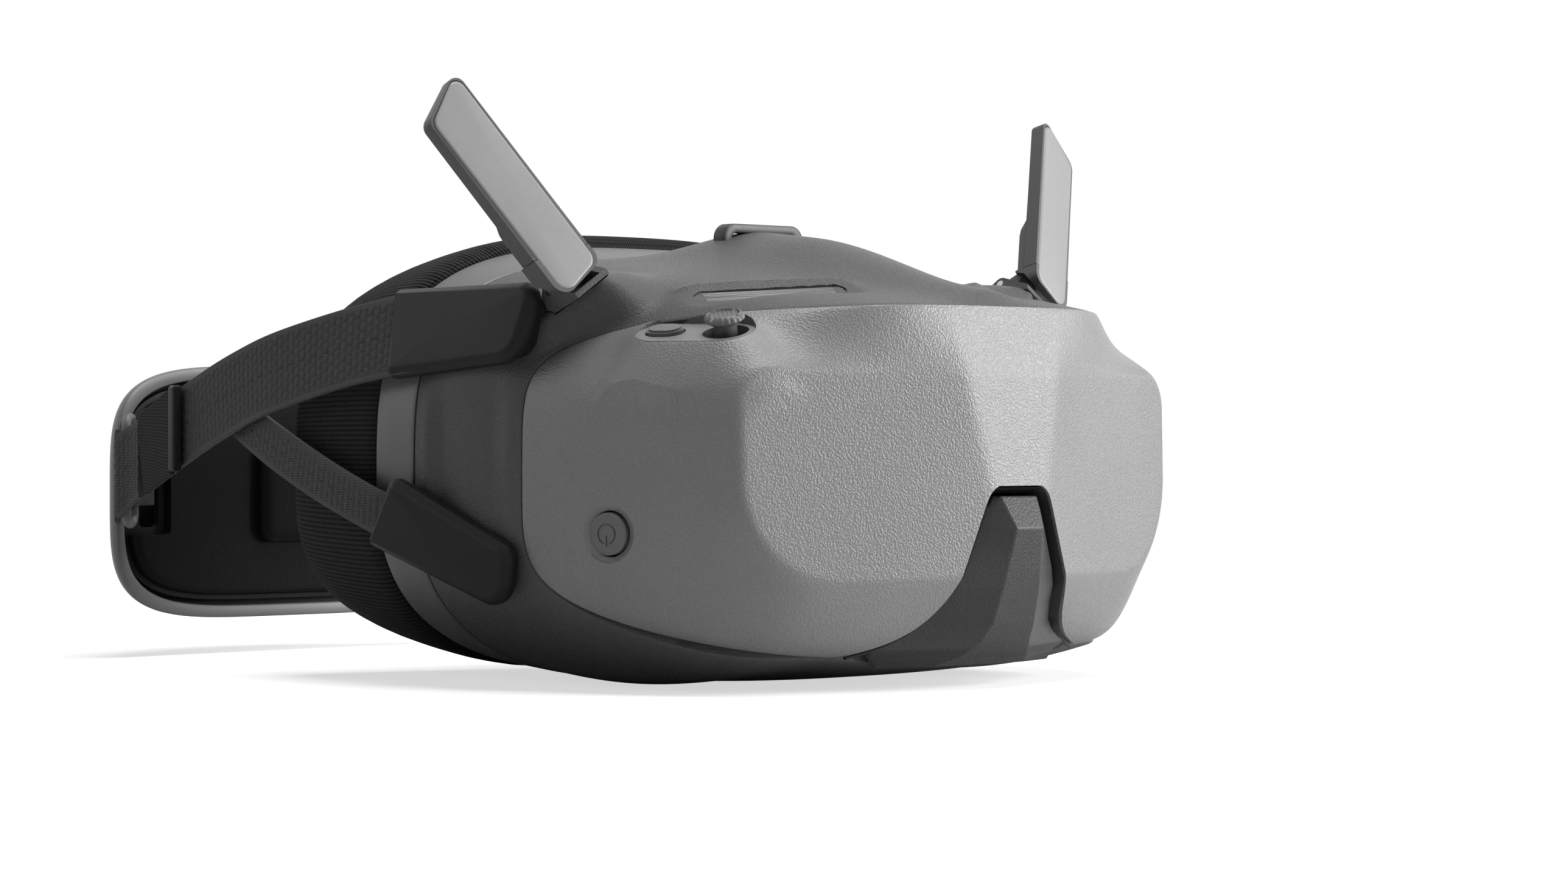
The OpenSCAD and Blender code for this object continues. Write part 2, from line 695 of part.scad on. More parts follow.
module vent_mesh(side) {
  rib = 0.8;
  pitch = 2;
  count = floor((vent_len - vent_w) / pitch / 2);
  color([0.3, 0.3, 0.3]) at_vent(side) translate([0, 0, -2.4])
    difference() {
      stadium(vent_len - 0.8, vent_w - 0.8, 1);
      for (i = [-count:count]) translate([i * pitch, 0, -1]) rotate(35)
        cube([pitch - rib, vent_w * 0.62, 8], center = true);
    }
}
// A flat ring that stands up behind the ridge for a strap over the head; its foot is under the skin
loop_y = 8;
loop_thick = 4.5;
loop_w = 30;
loop_h = 10;
loop_band = 2.4;
loop_top = 117.8;
module loop_shape(grow) {
  along_y(loop_y - grow, loop_y + loop_thick + grow) difference() {
    translate([0, loop_top - loop_h / 2]) polygon(corner_points(loop_w + 2 * grow, loop_h + 2 * grow, 4));
    translate([0, loop_top - loop_h / 2])
      polygon(corner_points(loop_w - 2 * loop_band - 1 - 2 * grow, loop_h - 2 * loop_band - 2 * grow, 2));
  }
}
module top_strap_loop() {
  color([0.24, 0.24, 0.25]) loop_shape(0);
}
module usb_socket() {
  color([0.6, 0.6, 0.62]) translate([port_x, port_y, port_z]) rotate([0, 90, 0]) rotate([0, 0, 90])
    difference() {
      stadium(usb_w, usb_h, 8.5);
      translate([0, 0, 1.5]) stadium(usb_w - 0.8, usb_h - 0.8, 9);
    }
}
module audio_jack() {
  color([0.5, 0.5, 0.52]) translate([port_x, jack_y, port_z]) rotate([0, 90, 0])
    difference() {
      cylinder(d = jack_d + 2.4, h = 8.5, $fn = 48);
      translate([0, 0, 1]) cylinder(d = jack_d, h = 9, $fn = 48);
    }
}

// ---------- buttons and joystick ----------
board_drop = 10.6;
pivot_z = -6.8;
pivot_d = 1.2;
ring_out = 8.4;
ring_h = 2.2;
post_w = 1.2;
module control_board() {
  color([0.08, 0.2, 0.12]) at_controls() {
    translate([0, 0, -board_drop]) stadium(control_pitch + 11, 12, 1.2);
    translate(back_spot + [0, 0, 1.2 - board_drop]) cylinder(d = 4, h = 1.6, $fn = 32);
    // Two posts carry the pivots of the joystick's ring
    translate(stick_spot) difference() {
      for (side = [-1, 1])
        translate([side * (ring_out / 2 + 0.3 + post_w / 2) - post_w / 2, -1.5, 1.2 - board_drop])
          cube([post_w, 3, board_drop + pivot_z - 1.2 + pivot_d]);
      translate([0, 0, pivot_z]) rotate([0, 90, 0]) cylinder(d = pivot_d + 2 * pin_gap, h = 20, center = true, $fn = 32);
    }
  }
}
module back_button() {
  color([0.2, 0.2, 0.21]) at_controls() translate(back_spot) {
    translate([0, 0, -4.4]) stadium(back_len, back_w, 5.2);
    translate([0, 0, 0.8]) stadium(back_len - 1.4, back_w - 1.4, 0.5);
  }
}
module power_button() {
  ring_d = 5.4;
  color([0.2, 0.2, 0.21]) at_power() difference() {
    union() {
      translate([0, 0, -5]) cylinder(d = power_d, h = 5.6, $fn = 72);
      translate([0, 0, 0.6]) cylinder(d1 = power_d, d2 = power_d - 1.4, h = 0.6, $fn = 72);
    }
    translate([0, 0, 0.9]) difference() {
      cylinder(d = ring_d, h = 1, $fn = 64);
      translate([0, 0, -1]) cylinder(d = ring_d - 1, h = 3, $fn = 64);
      translate([0, -0.9, -1]) cube([5, 1.8, 3]);
    }
    translate([0.4, -0.25, 0.9]) cube([2.7, 0.5, 1]);
  }
}
stick_d = 3;
module stick_gimbal() {
  // The outer ring of the joystick's gimbal, with a pivot at both ends and bores for the shaft's cross pin
  color([0.3, 0.3, 0.31]) at_controls() translate(stick_spot + [0, 0, pivot_z]) difference() {
    union() {
      cylinder(d = ring_out, h = ring_h, center = true, $fn = 48);
      rotate([0, 90, 0]) cylinder(d = pivot_d, h = ring_out + 2 * post_w, center = true, $fn = 32);
    }
    cylinder(d = stick_d + 2, h = 2 * ring_h, center = true, $fn = 48);
    rotate([90, 0, 0]) cylinder(d = pivot_d + 2 * pin_gap, h = 2 * ring_out, center = true, $fn = 32);
  }
}
module stick_shaft() {
  color([0.45, 0.45, 0.46]) at_controls() translate(stick_spot) {
    translate([0, 0, pivot_z - 1]) cylinder(d = stick_d, h = 2.8 - pivot_z, $fn = 48);
    translate([0, 0, pivot_z]) rotate([90, 0, 0]) cylinder(d = pivot_d, h = ring_out - 1, center = true, $fn = 32);
  }
}
module stick_cap() {
  notches = 16;
  color([0.18, 0.18, 0.19]) at_controls() translate(stick_spot) difference() {
    union() {
      translate([0, 0, -2.6]) cylinder(d = stick_d + 2.8, h = 4.6, $fn = 48);
      translate([0, 0, 1.9]) cylinder(d1 = stick_cap_d - 3.2, d2 = stick_cap_d, h = 1.1, $fn = 64);
      translate([0, 0, 3]) cylinder(d = stick_cap_d, h = 0.9, $fn = 64);
      translate([0, 0, 3.9]) cylinder(d1 = stick_cap_d, d2 = stick_cap_d - 1.8, h = 0.9, $fn = 64);
    }
    translate([0, 0, -3]) cylinder(d = stick_d + 2 * pin_gap, h = 5.4, $fn = 48);
    for (i = [0:3]) rotate(90 * i + 20) translate([stick_cap_d / 2 - 1.6, -0.7, 3.7]) cube([3, 1.4, 2]);
    translate([0, 0, 4.3]) cylinder(d = stick_cap_d - 3.8, h = 1, $fn = 48);
  }
}

// ---------- antennas ----------
hinge_spot = [housing_w / 2 - 8.9, -11.8, housing_top - 8.1];
blade_toe = 2.2;
blade_face = -3.8;
seam_mid = 6.4;
seam_rise = 2.5;
tip_drop = 2.4;
step_z = 20;
skin_gap = 0.2;
// The pin runs behind the blade, across a lug on the inboard half of its foot
pin_spot = [-3.1, 7.3, 0];
module at_hinge(side) {
  mirror([side < 0 ? 1 : 0, 0, 0])
    translate(hinge_spot) rotate([-blade_lean, blade_splay, blade_toe]) children();
}
// The blade's outline between two heights, drawn in its width and length
blade_r = 2.6;
module blade_outline(inset) {
  half = blade_w / 2 - inset;
  top_in = blade_len - inset;
  top_out = blade_len - 2 * tip_drop - inset;
  hull() {
    translate([-half, seam_mid - seam_rise + skin_gap]) square([0.01, 1]);
    translate([half - 0.01, seam_mid + seam_rise + skin_gap]) square([0.01, 1]);
    translate([-half + blade_r, top_in - blade_r]) circle(blade_r, $fn = 32);
    translate([half - blade_r - 0.6, top_out - blade_r]) circle(blade_r + 0.6, $fn = 32);
  }
}
module upright(y0, y1) {
  translate([0, y1, 0]) rotate([90, 0, 0]) linear_extrude(y1 - y0) children();
}
module antenna_front(side) {
  color([0.5, 0.5, 0.51]) at_hinge(side) hull() {
    upright(blade_face, blade_face + 0.1) blade_outline(0.7);
    upright(blade_face + 0.6, blade_face + 2.1) blade_outline(0);
  }
}
module antenna_back(side) {
  y0 = blade_face + 2.1 + skin_gap;
  color([0.25, 0.25, 0.26]) at_hinge(side) {
    hull() {
      upright(y0, blade_face + blade_thin - 0.8) blade_outline(0);
      upright(y0 + 0.4, blade_face + blade_thin) blade_outline(0.9);
    }
    intersection() {
      upright(y0 + 0.2, blade_face + blade_thick) blade_outline(0.4);
      rotate([90, 0, 90]) translate([0, 0, -blade_w]) linear_extrude(2 * blade_w)
        polygon([
          [y0, 0], [blade_face + blade_thick, 0], [blade_face + blade_thick, step_z - 3],
          [blade_face + blade_thin, step_z + 3], [y0, step_z + 3]
        ]);
    }
  }
}
knuckle_r = 2.4;
knuckle_len = 7;
ear_thick = 2.2;
ear_gap = 0.35;
ear_r = 2.1;
seat_reach = knuckle_len / 2 + ear_gap + ear_thick;
seat_top = -3.6;
seat_thick = 1.5;
seat_front = -1.8;
seat_back = 14.2;
// Cylinder along the pin's axis, centred on the lug
module on_pin(d, len, sides) {
  translate(pin_spot) rotate([0, 90, 0]) cylinder(d = d, h = len, center = true, $fn = sides);
}
// Extrudes an outline drawn in depth and height across the blade's width
module across(x0, x1) {
  translate([x0, 0, 0]) rotate([90, 0, 90]) linear_extrude(x1 - x0) children();
}
// The rounded foot under the slanted seam, cut away underneath, with the lug behind it
module antenna_base(side) {
  half = blade_w / 2;
  back = blade_face + blade_thick;
  color([0.35, 0.35, 0.36]) at_hinge(side) difference() {
    union() {
      intersection() {
        upright(blade_face, back) hull() {
          translate([-half, seam_mid - seam_rise - 1]) square([0.01, 1]);
          translate([half - 0.01, seam_mid + seam_rise - 1]) square([0.01, 1]);
          translate([-half + 3, 1.5]) circle(3, $fn = 48);
          translate([half - 4.2, 1.6]) circle(4.2, $fn = 48);
        }
        across(-half - 1, half + 1) polygon([
          [blade_face, -3], [blade_face + 1.2, -3], [0.4, 2], [back, 3.2], [back, 10], [blade_face, 10]
        ]);
      }
      across(pin_spot.x - knuckle_len / 2, pin_spot.x + knuckle_len / 2) hull() {
        translate([pin_spot.y, pin_spot.z]) circle(knuckle_r, $fn = 48);
        translate([back - 2, 3.1]) square([2, 1]);
      }
    }
    on_pin(pin_d + 2 * pin_gap, blade_w, 48);
  }
}
module antenna_pin(side) {
  color([0.75, 0.75, 0.76]) at_hinge(side) on_pin(pin_d, 2 * seat_reach + 0.4, 48);
}
// A saddle let into the pedestal, with a three-cornered ear at each end of the lug
module antenna_seat(side) {
  color([0.18, 0.18, 0.19]) at_hinge(side) difference() {
    union() {
      for (start = [-seat_reach, seat_reach - ear_thick])
        across(pin_spot.x + start, pin_spot.x + start + ear_thick) hull() {
          translate([pin_spot.y, pin_spot.z]) circle(ear_r, $fn = 48);
          translate([seat_back - 0.8, seat_top + 1]) circle(0.8, $fn = 24);
          translate([seat_front, seat_top - 0.5]) square([seat_back - seat_front, 0.5]);
        }
      translate([pin_spot.x - seat_reach, seat_front, seat_top - seat_thick])
        cube([2 * seat_reach, seat_back - seat_front, seat_thick]);
    }
    on_pin(pin_d, 2 * seat_reach + 2, 48);
  }
}
module seat_cut(side) {
  at_hinge(side) translate([pin_spot.x - seat_reach - seam_gap, seat_front - seam_gap, seat_top - seat_thick - seam_gap])
    cube([2 * (seat_reach + seam_gap), seat_back - seat_front + 2 * seam_gap, 12]);
}
// A shoulder of the housing that rises to carry the saddle
pedestal_top = [[-12.5, 6], [-8.6, 0.6], [-4.6, -2], [0, -3.2], [3.6, -3.1], [6, 3], [6, 13], [3.5, 16.5], [-12, 16.5]];
pedestal_foot = [[-15, 5], [-8, 0.5], [1.5, 10], [8, 18], [9, 26], [-14, 26]];
module pedestal(side) {
  at_hinge(side) hull() {
    translate([0, 0, seat_top - 0.1]) linear_extrude(0.1) polygon(pedestal_top);
    translate([0, 0, -18]) linear_extrude(0.1) polygon(pedestal_foot);
  }
}

// ---------- plates that hold the straps ----------
// The upper plates lean in at their top, the lower ones at their foot
upper_spot = [-housing_w / 2 + 0.9, 20, 88.5];
upper_lean = 12;
lower_spot = [-100.5, 26.4, 34];
lower_lean = -9;
lower_rise = 17.3;
plate_bevel = 1.5;
pocket_len = 15;
pocket_gap = 0.35;
pocket_edge = 0.9;
pocket_w = strap_thick + 2 * pocket_gap;
upper_slope = -4.6;
upper_shift = 0.9;
lower_shift = 0.4;
screw_d = 2;
screw_gap = 0.1;
// Local x runs to the rear, y up and z outwards from the plate's outer face
module at_upper(side) {
  mirror([side > 0 ? 1 : 0, 0, 0])
    translate(upper_spot) rotate([0, upper_lean, 0]) rotate([90, 0, -90]) mirror([1, 0, 0]) children();
}
module at_lower(side) {
  mirror([side > 0 ? 1 : 0, 0, 0])
    translate(lower_spot) rotate([0, lower_lean, 0]) rotate([90, 0, -90]) mirror([1, 0, 0])
      rotate(lower_rise) children();
}
module upper_outline() {
  hull() {
    translate([27.7, 10]) circle(1.4, $fn = 24);
    translate([-19.2, 7.7]) circle(4.6, $fn = 36);
    translate([-13.8, -0.3]) circle(8.2, $fn = 48);
    translate([25.2, -8.9]) circle(3, $fn = 24);
  }
}
module lower_outline() {
  hull() {
    translate([17.8, 7.9]) circle(3.5, $fn = 24);
    translate([-21, 2.3]) circle(5, $fn = 36);
    translate([-18.1, -2.2]) circle(8, $fn = 48);
    translate([24.4, -7.1]) circle(1.9, $fn = 24);
  }
}
module plate_body(strap_high, slope, shift) {
  difference() {
    hull() {
      translate([0, 0, -plate_thick]) linear_extrude(plate_thick - plate_bevel) children();
      translate([0, 0, -plate_thick]) linear_extrude(plate_thick) offset(-plate_bevel) children();
    }
    rotate(slope) translate([24 - pocket_len, shift - strap_high / 2 - pocket_edge, -plate_thick / 2 - pocket_w / 2])
      cube([2 * pocket_len, strap_high + 2 * pocket_edge, pocket_w]);
    screws_at(screw_gap);
  }
}
boss_depth = 13;
boss_end = 2;
module screws_at(gap) {
  for (u = [-14, -4]) translate([u, 0, -boss_depth - 1]) {
    cylinder(d = screw_d + 2 * gap, h = boss_depth - plate_thick + 3 + gap, $fn = 32);
    translate([0, 0, -1.6 - gap]) cylinder(d = 4 + 2 * gap, h = 1.6 + gap, $fn = 32);
  }
}
module upper_plate(side) {
  color([0.19, 0.19, 0.2]) at_upper(side) plate_body(strap_w, upper_slope, upper_shift) upper_outline();
}
module lower_plate(side) {
  color([0.19, 0.19, 0.2]) at_lower(side) plate_body(lower_strap_w, 0, lower_shift) lower_outline();
}
module plate_screws() {
  color([0.7, 0.7, 0.72]) for (side = [-1, 1]) {
    at_upper(side) screws_at(0);
    at_lower(side) screws_at(0);
  }
}
boss_gap = 0.1;
module plate_bosses() {
  for (side = [-1, 1]) {
    at_upper(side) boss() upper_outline();
    at_lower(side) boss() lower_outline();
  }
}
// The front part of a plate's outline, from the plate down to inside the housing
module boss() {
  translate([0, 0, -boss_depth]) linear_extrude(boss_depth - plate_thick - boss_gap) intersection() {
    offset(-2.2) children();
    translate([boss_end - 40, -20]) square([40, 40]);
  }
}

// ---------- straps ----------
// A smooth curve through control points
function spline(p, n) = [
  for (i = [0:len(p) - 2], k = [0:i == len(p) - 2 ? n : n - 1])
    let (
      t = k / n,
      a = p[max(0, i - 1)],
      b = p[i],
      c = p[i + 1],
      d = p[min(len(p) - 1, i + 2)]
    )
    0.5 * (2 * b + (c - a) * t + (2 * a - 5 * b + 4 * c - d) * t * t + (3 * b - a - 3 * c + d) * pow(t, 3))
];
// Rings of a flat band along a path; lean tips its top edge to the inner side at the start.
// Each ring is square to the path where square is 1, and upright where it is 0
function band_rings(path, width, thick, lean, square_start, square_end) = [
  for (i = [0:len(path) - 1])
    let (
      share = i / (len(path) - 1),
      along = unit(path[min(i + 1, len(path) - 1)] - path[max(i - 1, 0)]),
      up = unit([tan(lean) * (1 - ease(share * 1.6)), 0, 1]),
      keep = mix(square_start, square_end, ease(share * 1.4 - 0.2)),
      wide = unit(up - keep * (up * along) * along),
      out = unit(cross(wide, along)),
      half = width / 2 / mix(norm(cross(wide, along)), 1, keep)
    )
    [
      path[i] - half * wide - thick / 2 * out, path[i] + half * wide - thick / 2 * out,
      path[i] + half * wide + thick / 2 * out, path[i] - half * wide + thick / 2 * out
    ]
];
upper_path = [
  [-95.5, 30, 88.6], [-95.8, 46, 87.3], [-94.8, 69, 84.2], [-91.5, 100.5, 78.6], [-87, 122, 73.8],
  [-81.4, 144.5, 67.8], [-74.6, 170, 60], [-69.9, 186, 54.8]
];
// Two bars of the ring at each end of the pack, seen from above
bar_r = 1.3;
strap_bar = [-69.2, 194.4];
loop_bar = [-63.9, 197.7];
pack_z = 45;
ring_low = pack_z - 5 / 37 * pack_h;
ring_high = pack_z + 23 / 74 * pack_h;
ring_mid = (ring_low + ring_high) / 2;
bar_gap = 0.15;
// Path of the upper strap: round the bar and back along its own outer side
wrap_r = bar_r + bar_gap + strap_thick / 2;
wrap_path = [
  for (a = [-15:22.5:165])
    [strap_bar.x + wrap_r * cos(a), strap_bar.y + wrap_r * sin(a), pack_z + 6.6 - 0.012 * a]
];
return_path = [[-71.9, 189, 52.7], [-73.9, 181.6, 55.5]];
module both_sides(side) {
  mirror([side > 0 ? 1 : 0, 0, 0]) children();
}
module upper_strap(side) {
  path = concat(spline(upper_path, 3), wrap_path, return_path);
  color([0.22, 0.22, 0.22]) both_sides(side) skin(band_rings(path, strap_w, strap_thick, upper_lean, 1, 0));
}
end_path = [[-74.25, 180.5, 56], [-76.3, 173.5, 58.2], [-78.7, 165.5, 60.7], [-80.6, 158.8, 62.9]];
tab_len = 4;
module strap_end(side) {
  // The hook patch that holds the folded strap, with a stiff tab at its end
  color([0.17, 0.17, 0.17]) both_sides(side) {
    skin(band_rings(end_path, strap_w + 1.6, 1.6, 0, 0, 0));
    along = unit(end_path[3] - end_path[2]);
    tab = end_path[3] + along * (tab_len / 2 + 0.05);
    translate(tab) rotate([0, 0, atan2(along.y, along.x)])
      cube([tab_len, 2.6, strap_w + 2.4], center = true);
  }
}
lower_path = [
  [-99, 38.4, 38.4], [-99.4, 51.6, 42.5], [-95.6, 76, 49.9], [-90.2, 102.1, 58.6], [-85.5, 118.7, 64.3],
  [-83.3, 126.8, 67.5]
];
module lower_strap(side) {
  color([0.22, 0.22, 0.22]) both_sides(side)
    skin(band_rings(spline(lower_path, 3), lower_strap_w, strap_thick, lower_lean, 1, 1));
}

// ---------- battery pack ----------
pack_y = 205;
pack_sag = 5;
pack_power = 4.2;
pack_wall = 2.4;
rim_w = 3.6;
function pack_front(x) = pack_y - pack_sag * pow(x / (pack_w / 2), 2);
function pack_outline(angle, inset) =
  let (
    c = cos(angle),
    s = sin(angle),
    reach = pow(pow(abs(c), pack_power) + pow(abs(s), pack_power), -1 / pack_power)
  )
  [(pack_w / 2 - inset) * reach * c, pack_z + (pack_h / 2 - inset) * reach * s];
// The back is a shallow dome over the rim's outline
function pack_back(angle, k, inset) =
  let (p = pack_outline(angle, inset), x = p.x * k)
  [
    x,
    pack_front(x) + 1.5 + (pack_thick - 1.5 - inset) * pow(max(0, 1 - pow(k, 1.6)), 1 / 1.6),
    mix(pack_z, p.y, k)
  ];
function pack_rim(angle, inset) =
  let (p = pack_outline(angle, inset)) [p.x, pack_front(p.x), p.y];
dome_steps = [0.2, 0.45, 0.68, 0.86, 0.96, 1];
module pack_shell() {
  rings = concat(
    [for (k = dome_steps) [for (a = steps(60)) pack_back(a, k, 0)]],
    [[for (a = steps(60)) pack_rim(a, 0.8)], [for (a = steps(60)) pack_rim(a, rim_w)]],
    [for (k = reversed(dome_steps)) [for (a = steps(60)) pack_back(a, k, k == 1 ? rim_w : pack_wall)]]
  );
  color([0.4, 0.4, 0.4]) skin(reversed(rings));
}
// A slab between two depths behind the rim's curve, in the shape of its children
pack_curve_r = (pow(pack_w / 2, 2) + pow(pack_sag, 2)) / (2 * pack_sag);
module pack_slab(front, back) {
  intersection() {
    along_y(pack_y - 30, pack_y + 40) children();
    translate([0, pack_y - pack_curve_r, 0]) difference() {
      cylinder(r = pack_curve_r + back, h = 100, $fn = 720);
      translate([0, 0, -1]) cylinder(r = pack_curve_r + front, h = 102, $fn = 720);
    }
  }
}
module pack_area(inset) {
  polygon([for (a = steps(60)) pack_outline(a, inset)]);
}
slot_x = 49.6;
slot_w = 7.6;
module slots_area(grow) {
  for (side = [-1, 1])
    translate([side * (slot_x + slot_w / 2), ring_mid])
      square([slot_w + 2 * grow, ring_high - ring_low + 2 * grow], center = true);
}
frame_front = 2.6;
frame_back = 5;
module pack_frame() {
  color([0.2, 0.2, 0.2]) pack_slab(frame_front, frame_back) difference() {
    pack_area(rim_w + 1.5);
    slots_area(0);
  }
}
pad_inset = 6.5;
centre_w = 28;
centre_h = 30;
module pack_pad() {
  color([0.1, 0.1, 0.1]) pack_slab(-0.6, frame_front - 0.05) difference() {
    pack_area(pad_inset);
    slots_area(2.2);
    for (side = [-1, 1]) translate([side * (slot_x + slot_w + 6), ring_mid])
      square([12, ring_high - ring_low + 4.4], center = true);
  }
}
module pack_centre_pad() {
  color([0.12, 0.12, 0.12]) pack_slab(-4.6, -0.65)
    translate([0, pack_z]) polygon(corner_points(centre_w, centre_h, 4));
}
cell_w = 38;
cell_h = 21 / 37 * pack_h;
cell_thick = 7.2;
cell_y = pack_y + frame_back + 1;
module battery_cells() {
  color([0.25, 0.35, 0.5]) for (side = [-1, 1])
    translate([side * (cell_w + 1) / 2 - cell_w / 2, cell_y, pack_z - cell_h / 2 - 2]) cube([cell_w, cell_thick, cell_h]);
}
module battery_board() {
  color([0.08, 0.2, 0.12]) translate([-28, cell_y, pack_z + cell_h / 2]) cube([56, 5, 1.6]);
}
module buckle(side) {
  span = loop_bar - strap_bar;
  half = norm(span) / 2;
  mid = (loop_bar + strap_bar) / 2;
  color([0.23, 0.23, 0.24]) both_sides(side)
    translate([mid.x, mid.y, 0]) rotate([0, 0, atan2(span.y, span.x)]) {
      for (end = [-1, 1]) translate([end * half, 0, ring_low + bar_r + half])
        cylinder(r = bar_r, h = ring_high - ring_low - 2 * bar_r - 2 * half, $fn = 48);
      for (z = [ring_low + bar_r + half, ring_high - bar_r - half])
        translate([0, 0, z]) rotate([z < ring_mid ? -90 : 90, 0, 0])
          rotate_extrude(angle = 180, $fn = 64) translate([half, 0]) circle(bar_r, $fn = 48);
    }
}
web_thick = 1.2;
web_r = bar_r + bar_gap + web_thick / 2;
// Webbing from the pack's slot round the ring's inner bar
web_path = concat(
  [[-54.1, 211, ring_mid], [-54.1, 206, ring_mid], [-55.4, 200.5, ring_mid], [-58.8, 197.1, ring_mid]],
  [for (a = [-80:-30:-260]) [loop_bar.x + web_r * cos(a), loop_bar.y + web_r * sin(a), ring_mid]],
  [[-60.9, 200, ring_mid], [-58, 201.3, ring_mid], [-56.3, 203.7, ring_mid], [-55.8, 207.5, ring_mid],
   [-55.7, 211, ring_mid]]
);
module pack_loop(side) {
  color([0.16, 0.16, 0.16]) both_sides(side) skin(band_rings(web_path, 20, web_thick, 0, 1, 1));
}

lifted() front_cover();
lifted() notch_trim();
lifted() nose_wedge();
lifted() main_housing();
lifted() rear_bezel();
lifted() face_foam();
lifted() lens_frame();
lifted() main_lens();
lifted() viewing_tunnel();
lifted() display_carriage();
lifted() display_panel();
lifted() focus_slider();
lifted() mainboard();
lifted() fan_frame();
lifted() fan_impeller();
lifted() vent_mesh(1);  // vent_mesh_left
lifted() vent_mesh(-1);  // vent_mesh_right
lifted() top_strap_loop();
lifted() usb_socket();
lifted() audio_jack();
lifted() control_board();
lifted() power_button();
lifted() back_button();
lifted() stick_gimbal();
lifted() stick_shaft();
lifted() stick_cap();
lifted() antenna_seat(1);  // antenna_seat_left
lifted() antenna_pin(1);  // antenna_pin_left
lifted() antenna_base(1);  // antenna_base_left
lifted() antenna_front(1);  // antenna_front_left
lifted() antenna_back(1);  // antenna_back_left
lifted() antenna_seat(-1);  // antenna_seat_right
lifted() antenna_pin(-1);  // antenna_pin_right
lifted() antenna_base(-1);  // antenna_base_right
lifted() antenna_front(-1);  // antenna_front_right
lifted() antenna_back(-1);  // antenna_back_right
lifted() upper_plate(1);  // upper_plate_left
lifted() upper_plate(-1);  // upper_plate_right
lifted() lower_plate(1);  // lower_plate_left
lifted() lower_plate(-1);  // lower_plate_right
lifted() plate_screws();
lifted() upper_strap(1);  // upper_strap_left
lifted() upper_strap(-1);  // upper_strap_right
lifted() lower_strap(1);  // lower_strap_left
lifted() lower_strap(-1);  // lower_strap_right
lifted() strap_end(1);  // strap_end_left
lifted() strap_end(-1);  // strap_end_right
lifted() buckle(1);  // buckle_left
lifted() buckle(-1);  // buckle_right
lifted() pack_loop(1);  // pack_loop_left
lifted() pack_loop(-1);  // pack_loop_right
lifted() pack_shell();
lifted() pack_frame();
lifted() pack_pad();
lifted() pack_centre_pad();
lifted() battery_cells();
lifted() battery_board();
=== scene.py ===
"""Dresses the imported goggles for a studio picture: shells, foam, straps, pack, finishes, camera and lights."""
import math
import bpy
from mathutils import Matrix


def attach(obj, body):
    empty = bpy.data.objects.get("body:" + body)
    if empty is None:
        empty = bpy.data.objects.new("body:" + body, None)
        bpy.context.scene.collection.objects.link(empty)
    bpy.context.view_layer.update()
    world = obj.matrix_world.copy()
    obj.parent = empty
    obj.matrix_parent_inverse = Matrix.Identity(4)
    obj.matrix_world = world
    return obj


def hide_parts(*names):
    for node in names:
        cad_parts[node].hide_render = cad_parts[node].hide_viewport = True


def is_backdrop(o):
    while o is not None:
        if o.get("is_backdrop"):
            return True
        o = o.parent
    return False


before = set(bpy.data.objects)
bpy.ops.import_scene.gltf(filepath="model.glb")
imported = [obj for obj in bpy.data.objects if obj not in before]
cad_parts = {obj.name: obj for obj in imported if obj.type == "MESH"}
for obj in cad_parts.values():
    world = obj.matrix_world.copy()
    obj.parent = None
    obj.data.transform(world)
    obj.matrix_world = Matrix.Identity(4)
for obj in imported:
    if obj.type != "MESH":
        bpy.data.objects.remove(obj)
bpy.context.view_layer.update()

from types import SimpleNamespace

import bpy
import numpy as np
from mathutils import Vector

bl_info = {
    "name": "FPV goggles",
    "version": (1, 0, 0),
    "blender": (4, 5, 0),
    "location": "View3D > Sidebar > Goggles",
    "description": "Dresses the packed goggles and sets the studio",
    "category": "Object",
}

MM = 0.001
REST_DROP = 2.5  # shapes are worked out from a datum through the chin, this far above the rest face
SEAM_Z = 52.0  # height at which the shells are widest
SIDES = {"left": 1, "right": -1}
ROOT = "goggles"


# ---------- sizes and colours that a user would change ----------
def length(name, description, default):
    """A length property in metres."""
    return bpy.props.FloatProperty(name=name, description=description, default=default, unit="LENGTH")


def angle(name, description, degrees):
    """An angle property."""
    return bpy.props.FloatProperty(name=name, description=description, default=math.radians(degrees),
                                   unit="ROTATION")


def colour(name, description, default):
    """A linear colour property."""
    return bpy.props.FloatVectorProperty(name=name, description=description, default=default, size=3,
                                         subtype="COLOR")


